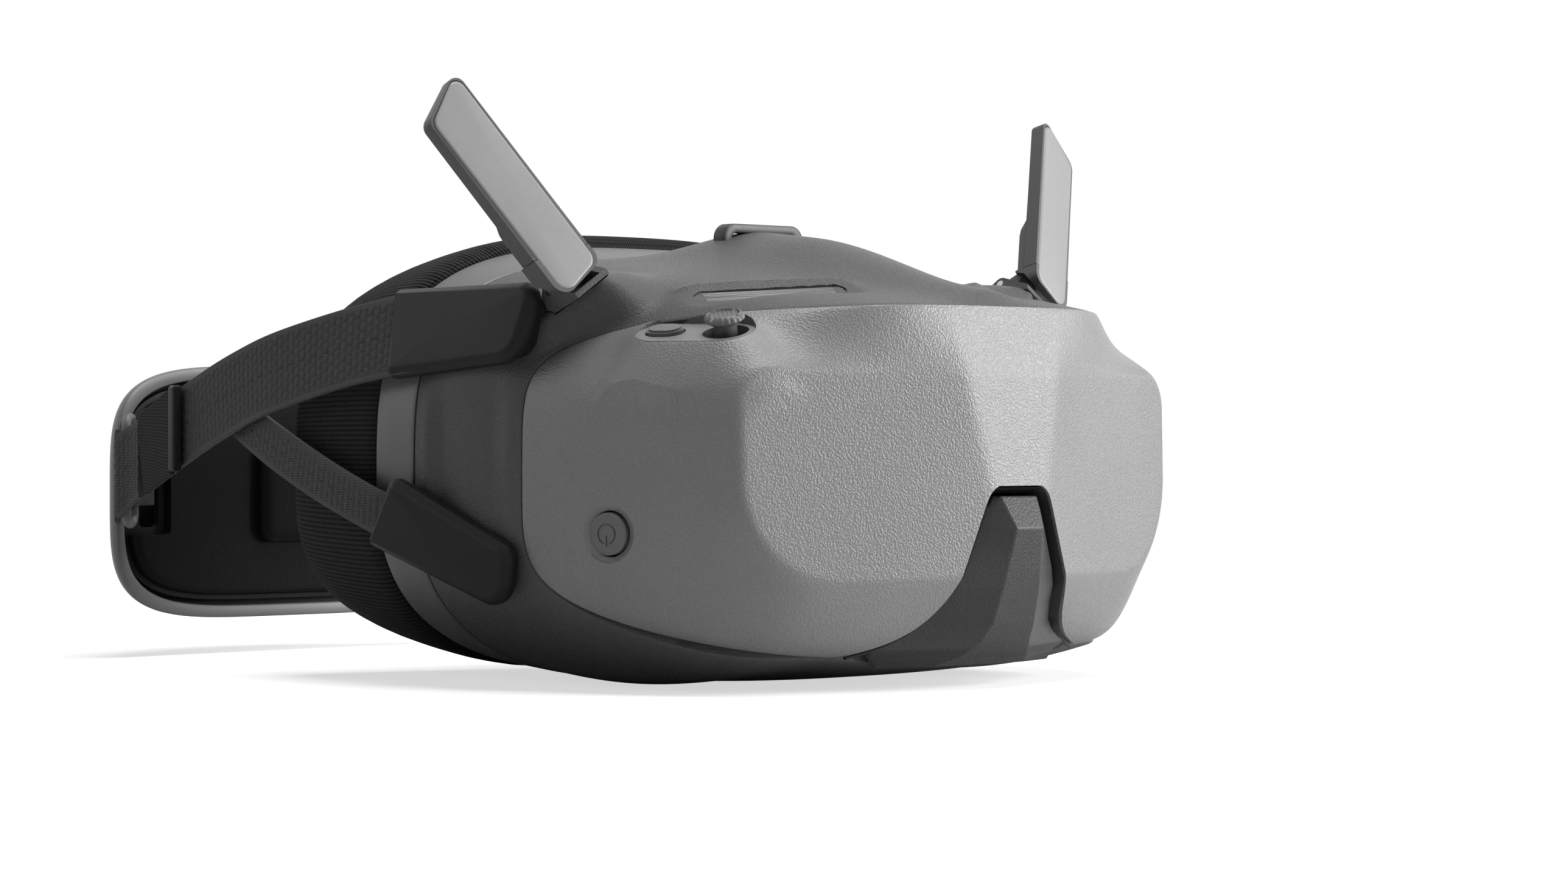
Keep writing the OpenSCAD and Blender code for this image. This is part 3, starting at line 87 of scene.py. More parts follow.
class ShellSizes(bpy.types.PropertyGroup):
    """Sizes of the moulded shells."""
    cover_w: length("Cover width", "Width of the front cover across its rear edge", 0.190)
    cover_top: length("Cover top", "Height of the cover's top edge above the datum", 0.0945)
    cover_low: length("Cover foot", "Height of the cover's lower edge above the datum", 0.006)
    cover_depth: length("Cover depth", "How far the cover reaches ahead of its side edges", 0.080)
    cover_wall: length("Cover wall", "Wall of the front cover", 0.0022)
    facet_w: length("Face width", "Width of the flat face between the side creases", 0.163)
    facet_top: length("Face top", "Height of the upper crease of the flat face", 0.078)
    facet_low: length("Face foot", "Height of the lower crease of the flat face", 0.025)
    strip_w: length("Strip width", "Width of the middle strip at the upper crease", 0.0346)
    facet_sweep: angle("Facet sweep", "Angle by which each half of the face sweeps back", 15.3)
    strip_lean: angle("Strip lean", "Lean of the middle strip", 4.9)
    facet_lean: angle("Facet lean", "Lean of the side facets", 1.3)
    crease_r: length("Crease radius", "Rounding along the crease round the face", 0.0024)
    notch_top: length("Notch top", "Height of the nose notch's flat top", 0.049)
    notch_w: length("Notch width", "Width of the nose notch under its rounded top", 0.0246)
    notch_bevel: length("Notch bevel", "Depth of the bevel round the notch", 0.004)
    wedge_proud: length("Wedge reach", "How far the nose wedge stands ahead of the face", 0.0056)
    seam_gap: length("Seam gap", "Gap along every seam between shells", 0.00035)
    housing_w: length("Housing width", "Width of the housing at its widest", 0.197)
    housing_len: length("Housing length", "Length from the cover's side edges to the rear seam", 0.041)
    housing_top: length("Housing top", "Height of the housing at its rear seam", 0.109)
    housing_wall: length("Housing wall", "Wall of the housing", 0.0026)
    ridge_rise: length("Ridge rise", "Extra height of the middle ridge", 0.009)
    ridge_half_w: length("Ridge half width", "Half width of the ridge's rounded top", 0.021)
    bezel_len: length("Bezel length", "Length of the smooth bezel behind the housing", 0.016)
    nose_arch_h: length("Nose arch height", "Height of the arch over the wearer's nose", 0.031)
    nose_arch_w: length("Nose arch width", "Half width of that arch", 0.027)


class SoftSizes(bpy.types.PropertyGroup):
    """Sizes of the foam, the straps and the pack."""
    foam_w: length("Foam width", "Width of the face foam", 0.187)
    foam_top: length("Foam top", "Height of the face foam above the datum", 0.117)
    foam_wall: length("Foam wall", "Thickness of the foam's cushion", 0.019)
    foam_side_len: length("Foam side depth", "Depth of the foam at the temples", 0.046)
    foam_brow_len: length("Foam brow depth", "Depth of the foam at the brow", 0.027)
    foam_swell: length("Foam swell", "The most that the cloth may swell in the simulation", 0.0016)
    knit_pitch: length("Knit pitch", "Width of one rib of the knitted cover", 0.0011)
    strap_w: length("Upper strap width", "Width of the upper straps", 0.0215)
    lower_strap_w: length("Lower strap width", "Width of the lower straps", 0.0125)
    strap_thick: length("Strap thickness", "Thickness of every strap", 0.002)
    cell_len: length("Weave length", "Length of one cell of the basket weave", 0.0027)
    cell_w: length("Weave width", "Width of one cell of the basket weave", 0.0027)
    pack_w: length("Pack width", "Width of the battery pack", 0.137)
    pack_h: length("Pack height", "Height of the battery pack", 0.074)
    pack_thick: length("Pack thickness", "Thickness of the battery pack at its middle", 0.028)


class Finishes(bpy.types.PropertyGroup):
    """Colours of the finishes."""
    cover: colour("Cover", "Grained plastic of the front cover", (0.205, 0.205, 0.208))
    housing: colour("Housing", "Grained plastic of the housing", (0.095, 0.095, 0.096))
    satin: colour("Satin plastic", "Smooth plastic of bezel, buttons and rings", (0.12, 0.12, 0.122))
    # The same black is also painted shade on the bosses under the strap plates.
    black: colour("Black plastic", "Matt black plastic of inner frames", (0.012, 0.012, 0.012))
    plate: colour("Plates", "Dark satin plastic of the strap plates", (0.017, 0.017, 0.0175))
    antenna: colour("Antenna face", "Fine-grained face of the antennas", (0.25, 0.25, 0.253))
    antenna_edge: colour("Antenna edge", "Darker rear half of the antennas", (0.06, 0.06, 0.062))
    foam: colour("Foam cover", "Knitted cover of the face foam", (0.026, 0.026, 0.027))
    webbing: colour("Webbing", "Woven straps", (0.042, 0.042, 0.042))
    selvedge: colour("Selvedge", "Plain edges of the straps", (0.045, 0.045, 0.045))
    pad: colour("Pack pad", "Soft leather-like pad of the pack", (0.007, 0.007, 0.007))
    pack: colour("Pack shell", "Smooth plastic of the pack's rim and back", (0.15, 0.15, 0.152))


def in_mm(group):
    """The group's lengths in millimetres and its angles in radians."""
    values = {}
    for key, item in group.bl_rna.properties.items():
        if item.type == "FLOAT" and not item.is_array:
            value = getattr(group, key)
            values[key] = value if item.unit == "ROTATION" else value / MM
    return SimpleNamespace(**values)


def shell():
    """Shell sizes in millimetres."""
    return in_mm(bpy.context.scene.goggle_shell)


def soft():
    """Soft sizes in millimetres."""
    return in_mm(bpy.context.scene.goggle_soft)


# ---------- shared arithmetic ----------
def mix(a, b, t):
    """Straight blend from a to b."""
    return a * (1 - t) + b * t


def ease(t):
    """Smooth step from 0 to 1."""
    k = np.clip(t, 0, 1)
    return k * k * (3 - 2 * k)


def smooth_max(a, b, width):
    """The larger of two values, rounded where they are within about width of each other."""
    return 0.5 * (a + b + np.sqrt((a - b) ** 2 + width ** 2))


def unit(v):
    """Vectors of length 1 along the last axis."""
    return v / np.linalg.norm(v, axis=-1, keepdims=True)


def turn(x=0.0, y=0.0, z=0.0):
    """Rotation about X, then Y, then Z, in degrees."""
    ax, ay, az = np.radians([x, y, z])
    rx = np.array([[1, 0, 0], [0, np.cos(ax), -np.sin(ax)], [0, np.sin(ax), np.cos(ax)]])
    ry = np.array([[np.cos(ay), 0, np.sin(ay)], [0, 1, 0], [-np.sin(ay), 0, np.cos(ay)]])
    rz = np.array([[np.cos(az), -np.sin(az), 0], [np.sin(az), np.cos(az), 0], [0, 0, 1]])
    return rz @ ry @ rx


class Spot:
    """A local frame on the model: a turn, a place and a mirror side."""

    def __init__(self, rotation, place, side=1):
        self.rotation = rotation
        self.place = np.array(place, float)
        self.flip = np.array([side, 1.0, 1.0])

    def out(self, points):
        """Local points to the model's frame."""
        return (points @ self.rotation.T + self.place) * self.flip

    def into(self, points):
        """Model points to the local frame."""
        return (points * self.flip - self.place) @ self.rotation


def controls_spot():
    """The tilted pad with the joystick and the back button."""
    return Spot(turn(z=113.5) @ turn(x=-18), [-75.6, -42, 87.2])


def power_spot():
    """The power button on the cover's side."""
    return Spot(turn(y=91.2, z=193.3), [-89.4, -25.7, 37.4])


def hinge_spot(side):
    """The foot of an antenna: x across the blade, y behind it, z up the blade."""
    return Spot(turn(-20.3, 32.4, 2.2), [89.6, -11.8, 100.9], side)


def vent_spot(side):
    """The middle of a vent slot."""
    return Spot(turn(z=30.6) @ turn(14, 3.3, 0), [45, -38, 98], side)


def plate_spot(level, side):
    """The outer face of a strap plate: x to the rear, y up, z outwards."""
    flat = turn(90, 0, -90) @ np.diag([-1.0, 1.0, 1.0])
    if level == "upper":
        return Spot(turn(y=12) @ flat, [-97.6, 20, 88.5], -side)
    return Spot(turn(y=-9) @ flat @ turn(z=17.3), [-100.5, 26.4, 34], -side)


# ---------- meshes from grids ----------
def grid_faces(rows, columns, wrap_rows, wrap_columns):
    """Corner numbers of the quads of a grid, as an array with four columns."""
    i = np.arange(rows if wrap_rows else rows - 1)[:, None]
    j = np.arange(columns if wrap_columns else columns - 1)[None, :]
    down = (i + 1) % rows
    right = (j + 1) % columns
    return np.stack([i * columns + j, i * columns + right, down * columns + right, down * columns + j],
                    -1).reshape(-1, 4)


def signed_volume(points, faces):
    """Volume inside closed quads or triangles; it is negative when the faces point inwards."""
    a = points[faces[:, 0]]
    total = 0.0
    for k in range(1, faces.shape[1] - 1):
        total += np.einsum("ij,ij->i", a, np.cross(points[faces[:, k]], points[faces[:, k + 1]])).sum()
    return total / 6


def surface(name, grid, wrap_rows=False, wrap_columns=True, caps=True, uv=None, sharp=32):
    """A mesh object through a grid of points in millimetres above the datum.
    Open rows are closed by a fan at each end, and the faces are turned outwards."""
    rows, columns = grid.shape[:2]
    points = grid.reshape(-1, 3)
    quads = grid_faces(rows, columns, wrap_rows, wrap_columns)
    fans = np.zeros((0, 3), int)
    if caps and not wrap_rows:
        j = np.arange(columns)
        k = (j + 1) % columns
        n = len(points)
        points = np.vstack([points, grid[0].mean(0), grid[-1].mean(0)])
        last = (rows - 1) * columns
        fans = np.vstack([
            np.stack([np.full(columns, n), k, j], -1),
            np.stack([np.full(columns, n + 1), last + j, last + k], -1),
        ])
    inward = signed_volume(points, quads) + (signed_volume(points, fans) if len(fans) else 0) < 0
    if inward:
        quads = quads[:, ::-1]
        fans = fans[:, ::-1]
    mesh = bpy.data.meshes.new(name)
    mesh.from_pydata(((points + [0, 0, REST_DROP]) * MM).tolist(), [], quads.tolist() + fans.tolist())
    if uv is not None:
        lay_uv(mesh, uv, rows, columns, wrap_rows, wrap_columns, inward, len(fans))
    mesh.shade_smooth()
    mesh.set_sharp_from_angle(angle=math.radians(sharp))
    piece = bpy.data.objects.new(name, mesh)
    bpy.context.scene.collection.objects.link(piece)
    return piece


def lay_uv(mesh, uv, rows, columns, wrap_rows, wrap_columns, inward, fan_count):
    """Stores a UV map given on the grid's corners, one more row or column where the grid wraps."""
    wide = columns + (1 if wrap_columns else 0)
    i = np.arange(rows if wrap_rows else rows - 1)[:, None]
    j = np.arange(wide - 1)[None, :]
    corners = np.stack([i * wide + j, i * wide + j + 1, (i + 1) * wide + j + 1, (i + 1) * wide + j],
                       -1).reshape(-1, 4)
    if inward:
        corners = corners[:, ::-1]
    flat = uv.reshape(-1, 2)[corners.reshape(-1)]
    flat = np.vstack([flat, np.zeros((fan_count * 3, 2))])
    mesh.uv_layers.new(name="Weave").data.foreach_set("uv", flat.astype(np.float32).ravel())


def prism(name, outline, levels, spot=None, sharp=32):
    """A closed solid: outline(inset) gives its points, and levels are pairs of inset and height."""
    rows = []
    for inset, height in levels:
        flat = outline(inset)
        rows.append(np.column_stack([flat, np.full(len(flat), height)]))
    grid = np.array(rows)
    return surface(name, spot.out(grid) if spot else grid, sharp=sharp)


def stadium(full_len, full_w, count=48):
    """Outline of a bar with round ends, by its inset."""
    half = np.linspace(-np.pi / 2, np.pi / 2, count // 2)

    def outline(inset):
        r = full_w / 2 - inset
        end = (full_len - full_w) / 2
        right = np.column_stack([end + r * np.cos(half), r * np.sin(half)])
        return np.vstack([right, -right])
    return outline


def disc(radius, count=96):
    """Outline of a circle, by its inset."""
    turn_by = np.linspace(0, 2 * np.pi, count, endpoint=False)

    def outline(inset):
        return (radius - inset) * np.column_stack([np.cos(turn_by), np.sin(turn_by)])
    return outline


def hull_of_circles(circles, count=160):
    """Outline round circles given as x, y and radius: at each direction, the furthest circle's edge."""
    facing = np.linspace(0, 2 * np.pi, count, endpoint=False)
    out = np.column_stack([np.cos(facing), np.sin(facing)])
    x, y, r = np.array(circles, float).T
    furthest = np.argmax(out[:, :1] * x + out[:, 1:] * y + r, axis=1)

    def outline(inset):
        reach = np.maximum(r[furthest] - inset, 0.02)
        return np.column_stack([x[furthest], y[furthest]]) + reach[:, None] * out
    return outline


def round_levels(z0, z1, radius, count=4, both=False):
    """Levels of a prism from z0 to z1 whose far edge, or both edges, are rounded."""
    bend = np.linspace(0, np.pi / 2, count + 1)
    towards = np.sign(z1 - z0)
    top = [(radius * (1 - np.cos(b)), z1 - towards * radius * (1 - np.sin(b))) for b in bend]
    low = [(radius * (1 - np.cos(b)), z0 + towards * radius * (1 - np.sin(b))) for b in bend[::-1]]
    return (low if both else [(0, z0)]) + top


def carve(piece, cutters, operation="DIFFERENCE", sharp=30):
    """Cuts closed solids out of a piece and keeps the result as its mesh."""
    for cutter in cutters:
        modifier = piece.modifiers.new("Cut", "BOOLEAN")
        modifier.operation = operation
        modifier.object = cutter
        modifier.solver = "MANIFOLD"
    bpy.context.view_layer.update()
    result = bpy.data.meshes.new_from_object(piece.evaluated_get(bpy.context.evaluated_depsgraph_get()))
    piece.modifiers.clear()
    old = piece.data
    piece.data = result
    bpy.data.meshes.remove(old)
    for cutter in cutters:
        bpy.data.meshes.remove(cutter.data)
    result.shade_smooth()
    result.set_sharp_from_angle(angle=math.radians(sharp))
    return piece


def bevel(piece, width, segments=3, limit=38):
    """Rounds the piece's sharp edges by a width in millimetres."""
    modifier = piece.modifiers.new("Rounding", "BEVEL")
    modifier.width = width * MM
    modifier.segments = segments
    modifier.limit_method = "ANGLE"
    modifier.angle_limit = math.radians(limit)
    modifier.harden_normals = True
    return piece


def dress(piece, material, body=ROOT, replaces=()):
    """Gives a piece its finish and its body, and hides the CAD nodes that it stands for."""
    piece.data.materials.clear()
    piece.data.materials.append(material)
    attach(piece, body)
    if replaces:
        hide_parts(*replaces)
    return piece


# ---------- the cover's surface ----------
def face_depth(x, z):
    """Depth of the face: a leaning middle strip and a swept facet on both sides, blended where they meet."""
    s = shell()
    high = z - s.facet_top + 1
    strip = math.tan(s.strip_lean) * high
    side = math.tan(s.facet_sweep) * (np.abs(x) - s.strip_w / 2) + math.tan(s.facet_lean) * high
    return -s.cover_depth + smooth_max(strip, side, 0.55)


def seam_depth(x, z):
    """Depth of the seam behind the cover, which sweeps back to the sides as a power of the width."""
    s = shell()
    high = z >= SEAM_Z
    run = 1 - np.clip(np.abs(x) * 2 / s.cover_w, 0, 1) ** np.where(high, 4, 5.5)
    return (-s.cover_depth + np.where(high, 4, 19)) * run ** np.where(high, 2, 1.15)


def oval(turn_by, half_w, top, low, power_top, power_low):
    """A superellipse with its own height and power above and below its widest level."""
    c, s = np.cos(turn_by), np.sin(turn_by)
    power = np.where(s >= 0, power_top, power_low)
    reach = (np.abs(c) ** power + np.abs(s) ** power) ** (-1 / power)
    half_h = np.where(s >= 0, top - SEAM_Z, SEAM_Z - low)
    return half_w * reach * c, SEAM_Z + half_h * reach * s


def round_rect(turn_by, half_w, half_h, r):
    """Where rays from the middle leave a rectangle with round corners."""
    d = unit(np.column_stack([half_w * np.cos(turn_by), half_h * np.sin(turn_by)]))
    c, s = np.maximum(np.abs(d), 1e-4).T
    side, cap = half_w / c, half_h / s
    kx, kz = half_w - r, half_h - r
    along = kx * c + kz * s
    arc = along + np.sqrt(np.maximum(0, r * r - kx * kx - kz * kz + along * along))
    t = np.where(side * s <= half_h - r, side, np.where(cap * c <= half_w - r, cap, arc))
    return t * d[:, 0], t * d[:, 1]


def crease_line(turn_by, inset=0.0):
    """Width and height of the crease round the face."""
    s = shell()
    high = np.sin(turn_by) >= 0
    half_h = np.where(high, s.facet_top - SEAM_Z, SEAM_Z - s.facet_low)
    x, z = round_rect(turn_by, s.facet_w / 2 - inset, half_h - inset, np.where(high, 9.0, 26.5))
    return x, SEAM_Z + z


def seam_line(turn_by, inset=0.0):
    """Width and height of the cover's rear edge."""
    s = shell()
    return oval(turn_by, s.cover_w / 2 - inset, s.cover_top - inset, s.cover_low + inset, 4, 4.3)


def cover_face(turn_by, share, inset=0.0):
    """Points of the face at a share of the way from its middle to the crease."""
    x, z = crease_line(turn_by, inset)
    x, z = x * share, mix(SEAM_Z, z, share)
    return np.column_stack([x, face_depth(x, z) + inset, z])


def cover_side(turn_by, m, inset=0.0):
    """Side wall from the crease (m = 0) to the seam (m = 1): straight at the sides, fuller in the corners."""
    ax, az = crease_line(turn_by, inset)
    bx, bz = seam_line(turn_by, inset)
    ox, oz = seam_line(turn_by)
    s = np.sin(turn_by)
    fullness = np.where(s >= 0, 1 + np.sin(2 * turn_by) ** 2, 1 + np.clip(-1.25 * s, 0, 1) ** 2)
    e = 1 - (1 - m) ** fullness
    return np.column_stack([mix(ax, bx, e), mix(face_depth(ax, az) + inset, seam_depth(ox, oz), m),
                            mix(az, bz, e)])


def cover_grid(count=540):
    """Rings of the cover: face, rounded crease, side wall, turned edge and the wall's inner side."""
    s = shell()
    turn_by = np.linspace(0, 2 * np.pi, count, endpoint=False)
    x, z = crease_line(turn_by)
    span = np.abs(x)
    strip_edge = s.strip_w / 2
    middle = np.where(span > strip_edge / 0.9, strip_edge / np.maximum(span, 1), 0.9)
    reach = np.hypot(x, z - SEAM_Z)
    last = 1 - s.crease_r / reach
    rows = [cover_face(turn_by, middle * k) for k in np.linspace(0.04, 0.9, 14)]
    rows += [cover_face(turn_by, mix(middle * 0.93, last, k ** 1.3)) for k in np.linspace(0, 1, 34)]
    corner = cover_face(turn_by, 1.0)
    wall_len = np.maximum(seam_depth(*seam_line(turn_by)) - corner[:, 1], 6)
    first = np.minimum(s.crease_r / wall_len, 0.3)
    before, after = cover_face(turn_by, last), cover_side(turn_by, first)
    for t in np.linspace(0, 1, 8)[1:-1]:
        rows.append((1 - t) ** 2 * before + 2 * t * (1 - t) * corner + t * t * after)
    rows += [cover_side(turn_by, mix(first, 1 - 0.5 / wall_len, k)) for k in np.linspace(0, 1, 52)]
    edge = cover_side(turn_by, 1.0)
    inner_edge = cover_side(turn_by, 1.0, 0.45)
    rows += [mix(edge, inner_edge, 0.3), inner_edge]
    rows += [cover_side(turn_by, m, s.cover_wall) for m in (1.0, 0.85, 0.6, 0.3, 0.08)]
    rows += [cover_face(turn_by, k, s.cover_wall) for k in (0.97, 0.8, 0.5, 0.2, 0.04)]
    return np.array(rows)


def stadium_distance(u, v, full_len, full_w):
    """Distance outside a bar with round ends; it is negative inside."""
    end = (full_len - full_w) / 2
    return np.hypot(np.maximum(np.abs(u) - end, 0), v) - full_w / 2


def raise_pad(grid):
    """Lifts the cover to the pad under the controls, with a soft slope that falls away from the pad's edge."""
    spot = controls_spot()
    local = spot.into(grid)
    away = np.maximum(stadium_distance(local[..., 0], local[..., 1] + 0.5, 32, 16), 0)
    aim = -0.4 - 0.75 * away - 0.02 * away ** 2
    near = (away < 14) & (np.abs(local[..., 2]) < 16)
    raised = smooth_max(local[..., 2], aim, 2.2)
    local[..., 2] = np.where(near, mix(raised, local[..., 2], ease((away - 9) / 5)), local[..., 2])
    return spot.out(local)


def notch_half(z, inset=0.0):
    """Half width of the nose notch at a height: a slanted side, a rounded top and a flared foot."""
    s = shell()
    return (s.notch_w / 2 - inset + 0.4 * (s.notch_top - 4 - z) - 4 * np.exp((z - s.notch_top - 0.5) / 1.2)
            + 18 * np.exp(-(z - s.cover_low - 0.5) / 4))


def notch_heights(low):
    """Heights along the notch's side, closer together towards its foot and its top."""
    top = shell().notch_top
    return np.unique(np.concatenate([np.linspace(low, 14, 14), np.linspace(14, top - 6, 16),
                                     np.linspace(top - 6, top, 22)]))


def make_cover(finish):
    """The front cover, with the notch and the openings for the controls cut through its wall."""
    s = shell()
    grid = cover_grid()
    outer = grid[:-10]
    grid = np.concatenate([raise_pad(outer), grid[-10:]])
    cover = surface("front_cover_shell", grid)
    z = notch_heights(2.0)
    side = np.column_stack([notch_half(z), z])
    mirrored = side[::-1] * [-1, 1]
    outline = np.vstack([side, mirrored])
    rows = [np.column_stack([outline[:, 0], np.full(len(outline), y), outline[:, 1]])
            for y in (-s.cover_depth - 9, -s.cover_depth + 40)]
    cutters = [surface("notch_cut", np.array(rows))]
    spot = controls_spot()
    cutters.append(prism("pad_cut", stadium(31.1, 15.1, 64), [(0, -9), (0, 14)], spot))
    power = power_spot()
    cutters.append(prism("power_cut", disc(5.75), [(0, -8), (0, -0.5), (-1.4, 0.1), (-3.2, 1.6), (-3.2, 6)],
                         power))
    carve(cover, cutters)
    dress(cover, finish["cover"], replaces=["front_cover"])
    hole = [prism("stick_hole", disc(5.8), [(0, -12), (0, 8)],
                  Spot(spot.rotation, spot.out(np.array([-8.0, 0, 0])))),
            prism("back_hole", stadium(10.3, 8.1), [(0, -12), (0, 8)],
                  Spot(spot.rotation, spot.out(np.array([8.0, 0, 0]))))]
    pad = prism("control_pad", stadium(31, 15, 96), [(0, -5), (0, 0)], spot)
    carve(pad, hole)
    bevel(pad, 0.35)
    dress(pad, finish["cover_smooth"])


def make_stick(finish):
    """The joystick's cap: a turned neck and cone, a knurled rim with four gaps, and ribs across its top."""
    controls = controls_spot()
    spot = Spot(controls.rotation, controls.out(np.array([-8.0, 0, 0])))
    turn_by = np.linspace(0, 2 * np.pi, 256, endpoint=False)
    teeth = 0.5 + 0.5 * np.tanh(4 * np.sin(20 * turn_by))
    gaps = np.exp(-(np.sin(2 * turn_by + 0.7) / 0.22) ** 2)
    # Radius, height, share of the knurl and share of the four gaps
    profile = [(0.3, -2.6, 0, 0), (2.9, -2.6, 0, 0), (2.9, 1.75, 0, 0), (3.1, 1.95, 0, 0),
               (4.85, 2.95, 0, 0), (5.05, 3.1, 0.5, 0), (5.1, 3.25, 1, 0), (5.1, 3.85, 1, 0),
               (4.95, 4.1, 1, 0.5), (4.35, 4.75, 0.5, 1), (4.1, 4.8, 0, 1), (3.95, 4.6, 0, 0.8),
               (3.85, 4.3, 0, 0.2)]
    profile += [(r, 4.2, 0, 0) for r in np.linspace(3.75, 0.15, 26)]
    rows = []
    for radius, height, knurl, gap in profile:
        x, y = (radius - 0.22 * knurl * teeth) * np.array([np.cos(turn_by), np.sin(turn_by)])
        ribs_up = 0.3 * np.maximum(np.cos(2 * np.pi * (x + 0.4 * y) / 1.15), 0) if height == 4.2 else 0
        rows.append(np.column_stack([x, y, height - 0.55 * gap * gaps + ribs_up]))
    cap = surface("joystick_cap", spot.out(np.array(rows)), sharp=45)
    dress(cap, finish["satin"], "stick_top", ["stick_cap"])


def make_nose(finish):
    """The bevelled trim of the notch and the faceted wedge that hangs in it."""
    s = shell()
    z = notch_heights(s.cover_low + 1)
    right = np.column_stack([notch_half(z), z])
    path = np.vstack([right * [-1, 1], [[0, s.notch_top]], right[::-1]])
    along = unit(np.gradient(path, axis=0))
    inward = np.column_stack([along[:, 1], -along[:, 0]])
    fade = ease((path[:, 1] - s.cover_low) / 10)
    depth = cover_depth_below(path[:, 0], path[:, 1])
    set_in = s.seam_gap + 0.1
    width = mix(0.6, 1.5, fade)
    a = path + set_in * inward
    b = path + (set_in + width)[:, None] * inward

    def ring(p, y):
        return np.column_stack([p[:, 0], y, p[:, 1]])
    front = depth + 0.55
    section = [ring(a, front), ring(a, front + 1.3 + s.notch_bevel * fade),
               ring(b, front + 1.3 + s.notch_bevel * fade),
               ring(b, front + 0.9 * s.notch_bevel * fade)]
    trim = surface("notch_frame", np.stack(section, 1), sharp=25)
    bevel(trim, 0.25)
    dress(trim, finish["trim"], replaces=["notch_trim"])

    levels = np.array([46.4, 43.5, 38.4, 35.4, 32.3, 28, 23.5, 19, 14.3, 11.5, 9.5, 8, 6.8, 5.9, 5.2, 4.2, 3.4])
    rows = np.array([[46.4, 7, -3.8], [38.4, 5, 0], [32.3, 5.7, -1.1], [23.5, 6.9, -2.9], [14.3, 7.9, -5.5],
                     [9.5, 9.5, -8.6], [6.8, 12, -11.1], [5.2, 14, -13.5], [3.4, 17, -17.5]])[::-1]
    half = np.interp(levels, rows[:, 0], rows[:, 1])
    proud = s.wedge_proud + np.interp(levels, rows[:, 0], rows[:, 2])
    gap = s.seam_gap + 1.5 + 0.5 + 1.5 * ease((levels - 43) / 4)
    side = np.minimum(notch_half(np.maximum(levels, s.cover_low + 0.6)) - gap, 30 + 0.9 * levels)
    back_limit = -s.cover_depth + 19 - 0.6
    bevel_depth = 0.7 * s.notch_bevel * ease((levels - s.cover_low) / 10)
    y_side = np.minimum(cover_depth_below(side, levels) + bevel_depth, back_limit - 1.2)
    y_back = np.minimum(y_side + 3.5, back_limit)
    y_front = -s.cover_depth - proud
    corners = [(-side, y_back), (-side, y_side), (-half, y_front), (half, y_front), (side, y_side),
               (side, y_back)]
    grid = np.stack([np.column_stack([x, y, levels]) for x, y in corners], 1)
    wedge = surface("nose_facets", grid, sharp=8)
    bevel(wedge, 0.5, limit=14)
    dress(wedge, finish["wedge"], replaces=["nose_wedge"])


def cover_depth_below(x, z):
    """Depth of the cover's outside below the brow, also where it curls in under the lower crease."""
    s = shell()
    fall = np.clip((s.facet_low - z) / (s.facet_low - s.cover_low), 0, 1)
    return mix(face_depth(x, np.maximum(z, s.facet_low)), seam_depth(x, np.full_like(z, s.cover_low)),
               1 - np.sqrt(1 - fall))


# ---------- housing and bezel ----------
def ridge(x, y):
    """Extra height of the middle ridge: a bell across the width that grows to the rear and then fades."""
    s = shell()
    width = mix(s.ridge_half_w / 2, s.ridge_half_w, ease((y + 65) / 60))
    across = np.exp(-0.7 * (x / width) ** 2)
    rise = 0.36 * ease((y + s.cover_depth - 4) / 5) + 0.64 * ease((y + 60) / 50)
    return s.ridge_rise * across * rise * (1 - ease((y - 8) / 34))


def nose_arch(x, y):
    """Height of the arch over the nose: a flat-topped bell across the width that opens to the rear."""
    s = shell()
    return s.nose_arch_h * np.exp(-(x / s.nose_arch_w / 0.85) ** 4) * ease((y - 9) / 31)


def housing_ring(turn_by, share, inset=0.0):
    """Points round the housing from the cover's seam (share 0) to the bezel's (share 1)."""
    s = shell()
    ax, az = seam_line(turn_by, inset)
    ex, ez = seam_line(turn_by)
    bx, bz = oval(turn_by, s.cover_w / 2 - inset, s.housing_top - inset, inset - REST_DROP - 1.2, 3.2, 2.7)
    y = mix(seam_depth(ex, ez) + s.seam_gap, s.housing_len - s.seam_gap, share)
    e = 1 - (1 - share) ** np.where(np.sin(turn_by) < 0, 2.6, 1.5)
    bulge = (s.housing_w - s.cover_w) / 2
    x = mix(ax, bx, e) + bulge * math.sin(math.pi * share) * np.cos(turn_by)
    z = mix(az, bz, e)
    high = z > SEAM_Z
    hollow = 3 * np.exp(-((z - 55) / 19) ** 4) * ease((y - 3) / 9) * (1 - ease((y - 29) / 7))
    chin = np.where(high, 0, 3 * np.exp(-(x / 38) ** 4) * (1 - share) ** 3)
    along_belly = np.sin(np.pi * np.clip((y + 66) / 107, 0, 1))
    belly = 5 * along_belly * ease((34 - z) / 30) * np.exp(-((np.abs(x) - 66) / 20) ** 2)
    low = np.maximum(z - chin - belly, inset - REST_DROP)
    lift = np.where(high, ridge(x, y), nose_arch(x, y) * np.clip((SEAM_Z - z) / 40, 0, 1))
    return np.column_stack([x - np.sign(x) * hollow, y, np.where(high, z, low) + lift])


def polygon_distance(u, v, corners, slack):
    """Distance outside a convex outline, where sides that face -x count for less by the given factor."""
    total = np.zeros_like(u)
    inside = np.full_like(u, -1e9)
    nxt = np.roll(corners, -1, axis=0)
    for a, b in zip(corners, nxt):
        n = np.array([b[1] - a[1], a[0] - b[0]])
        n = n / np.linalg.norm(n)
        q = (u - a[0]) * n[0] + (v - a[1]) * n[1]
        q = q * (1 - (1 - slack) * max(0.0, -n[0]))
        total += np.maximum(q, 0) ** 3
        inside = np.maximum(inside, q)
    return np.where(total > 0, np.cbrt(total), inside)


PEDESTAL_TOP = np.array([[-12.5, 6], [-8.6, 0.6], [-4.6, -2], [0, -3.2], [3.6, -3.1], [6, 3], [6, 13],
                         [3.5, 16.5], [-12, 16.5]])


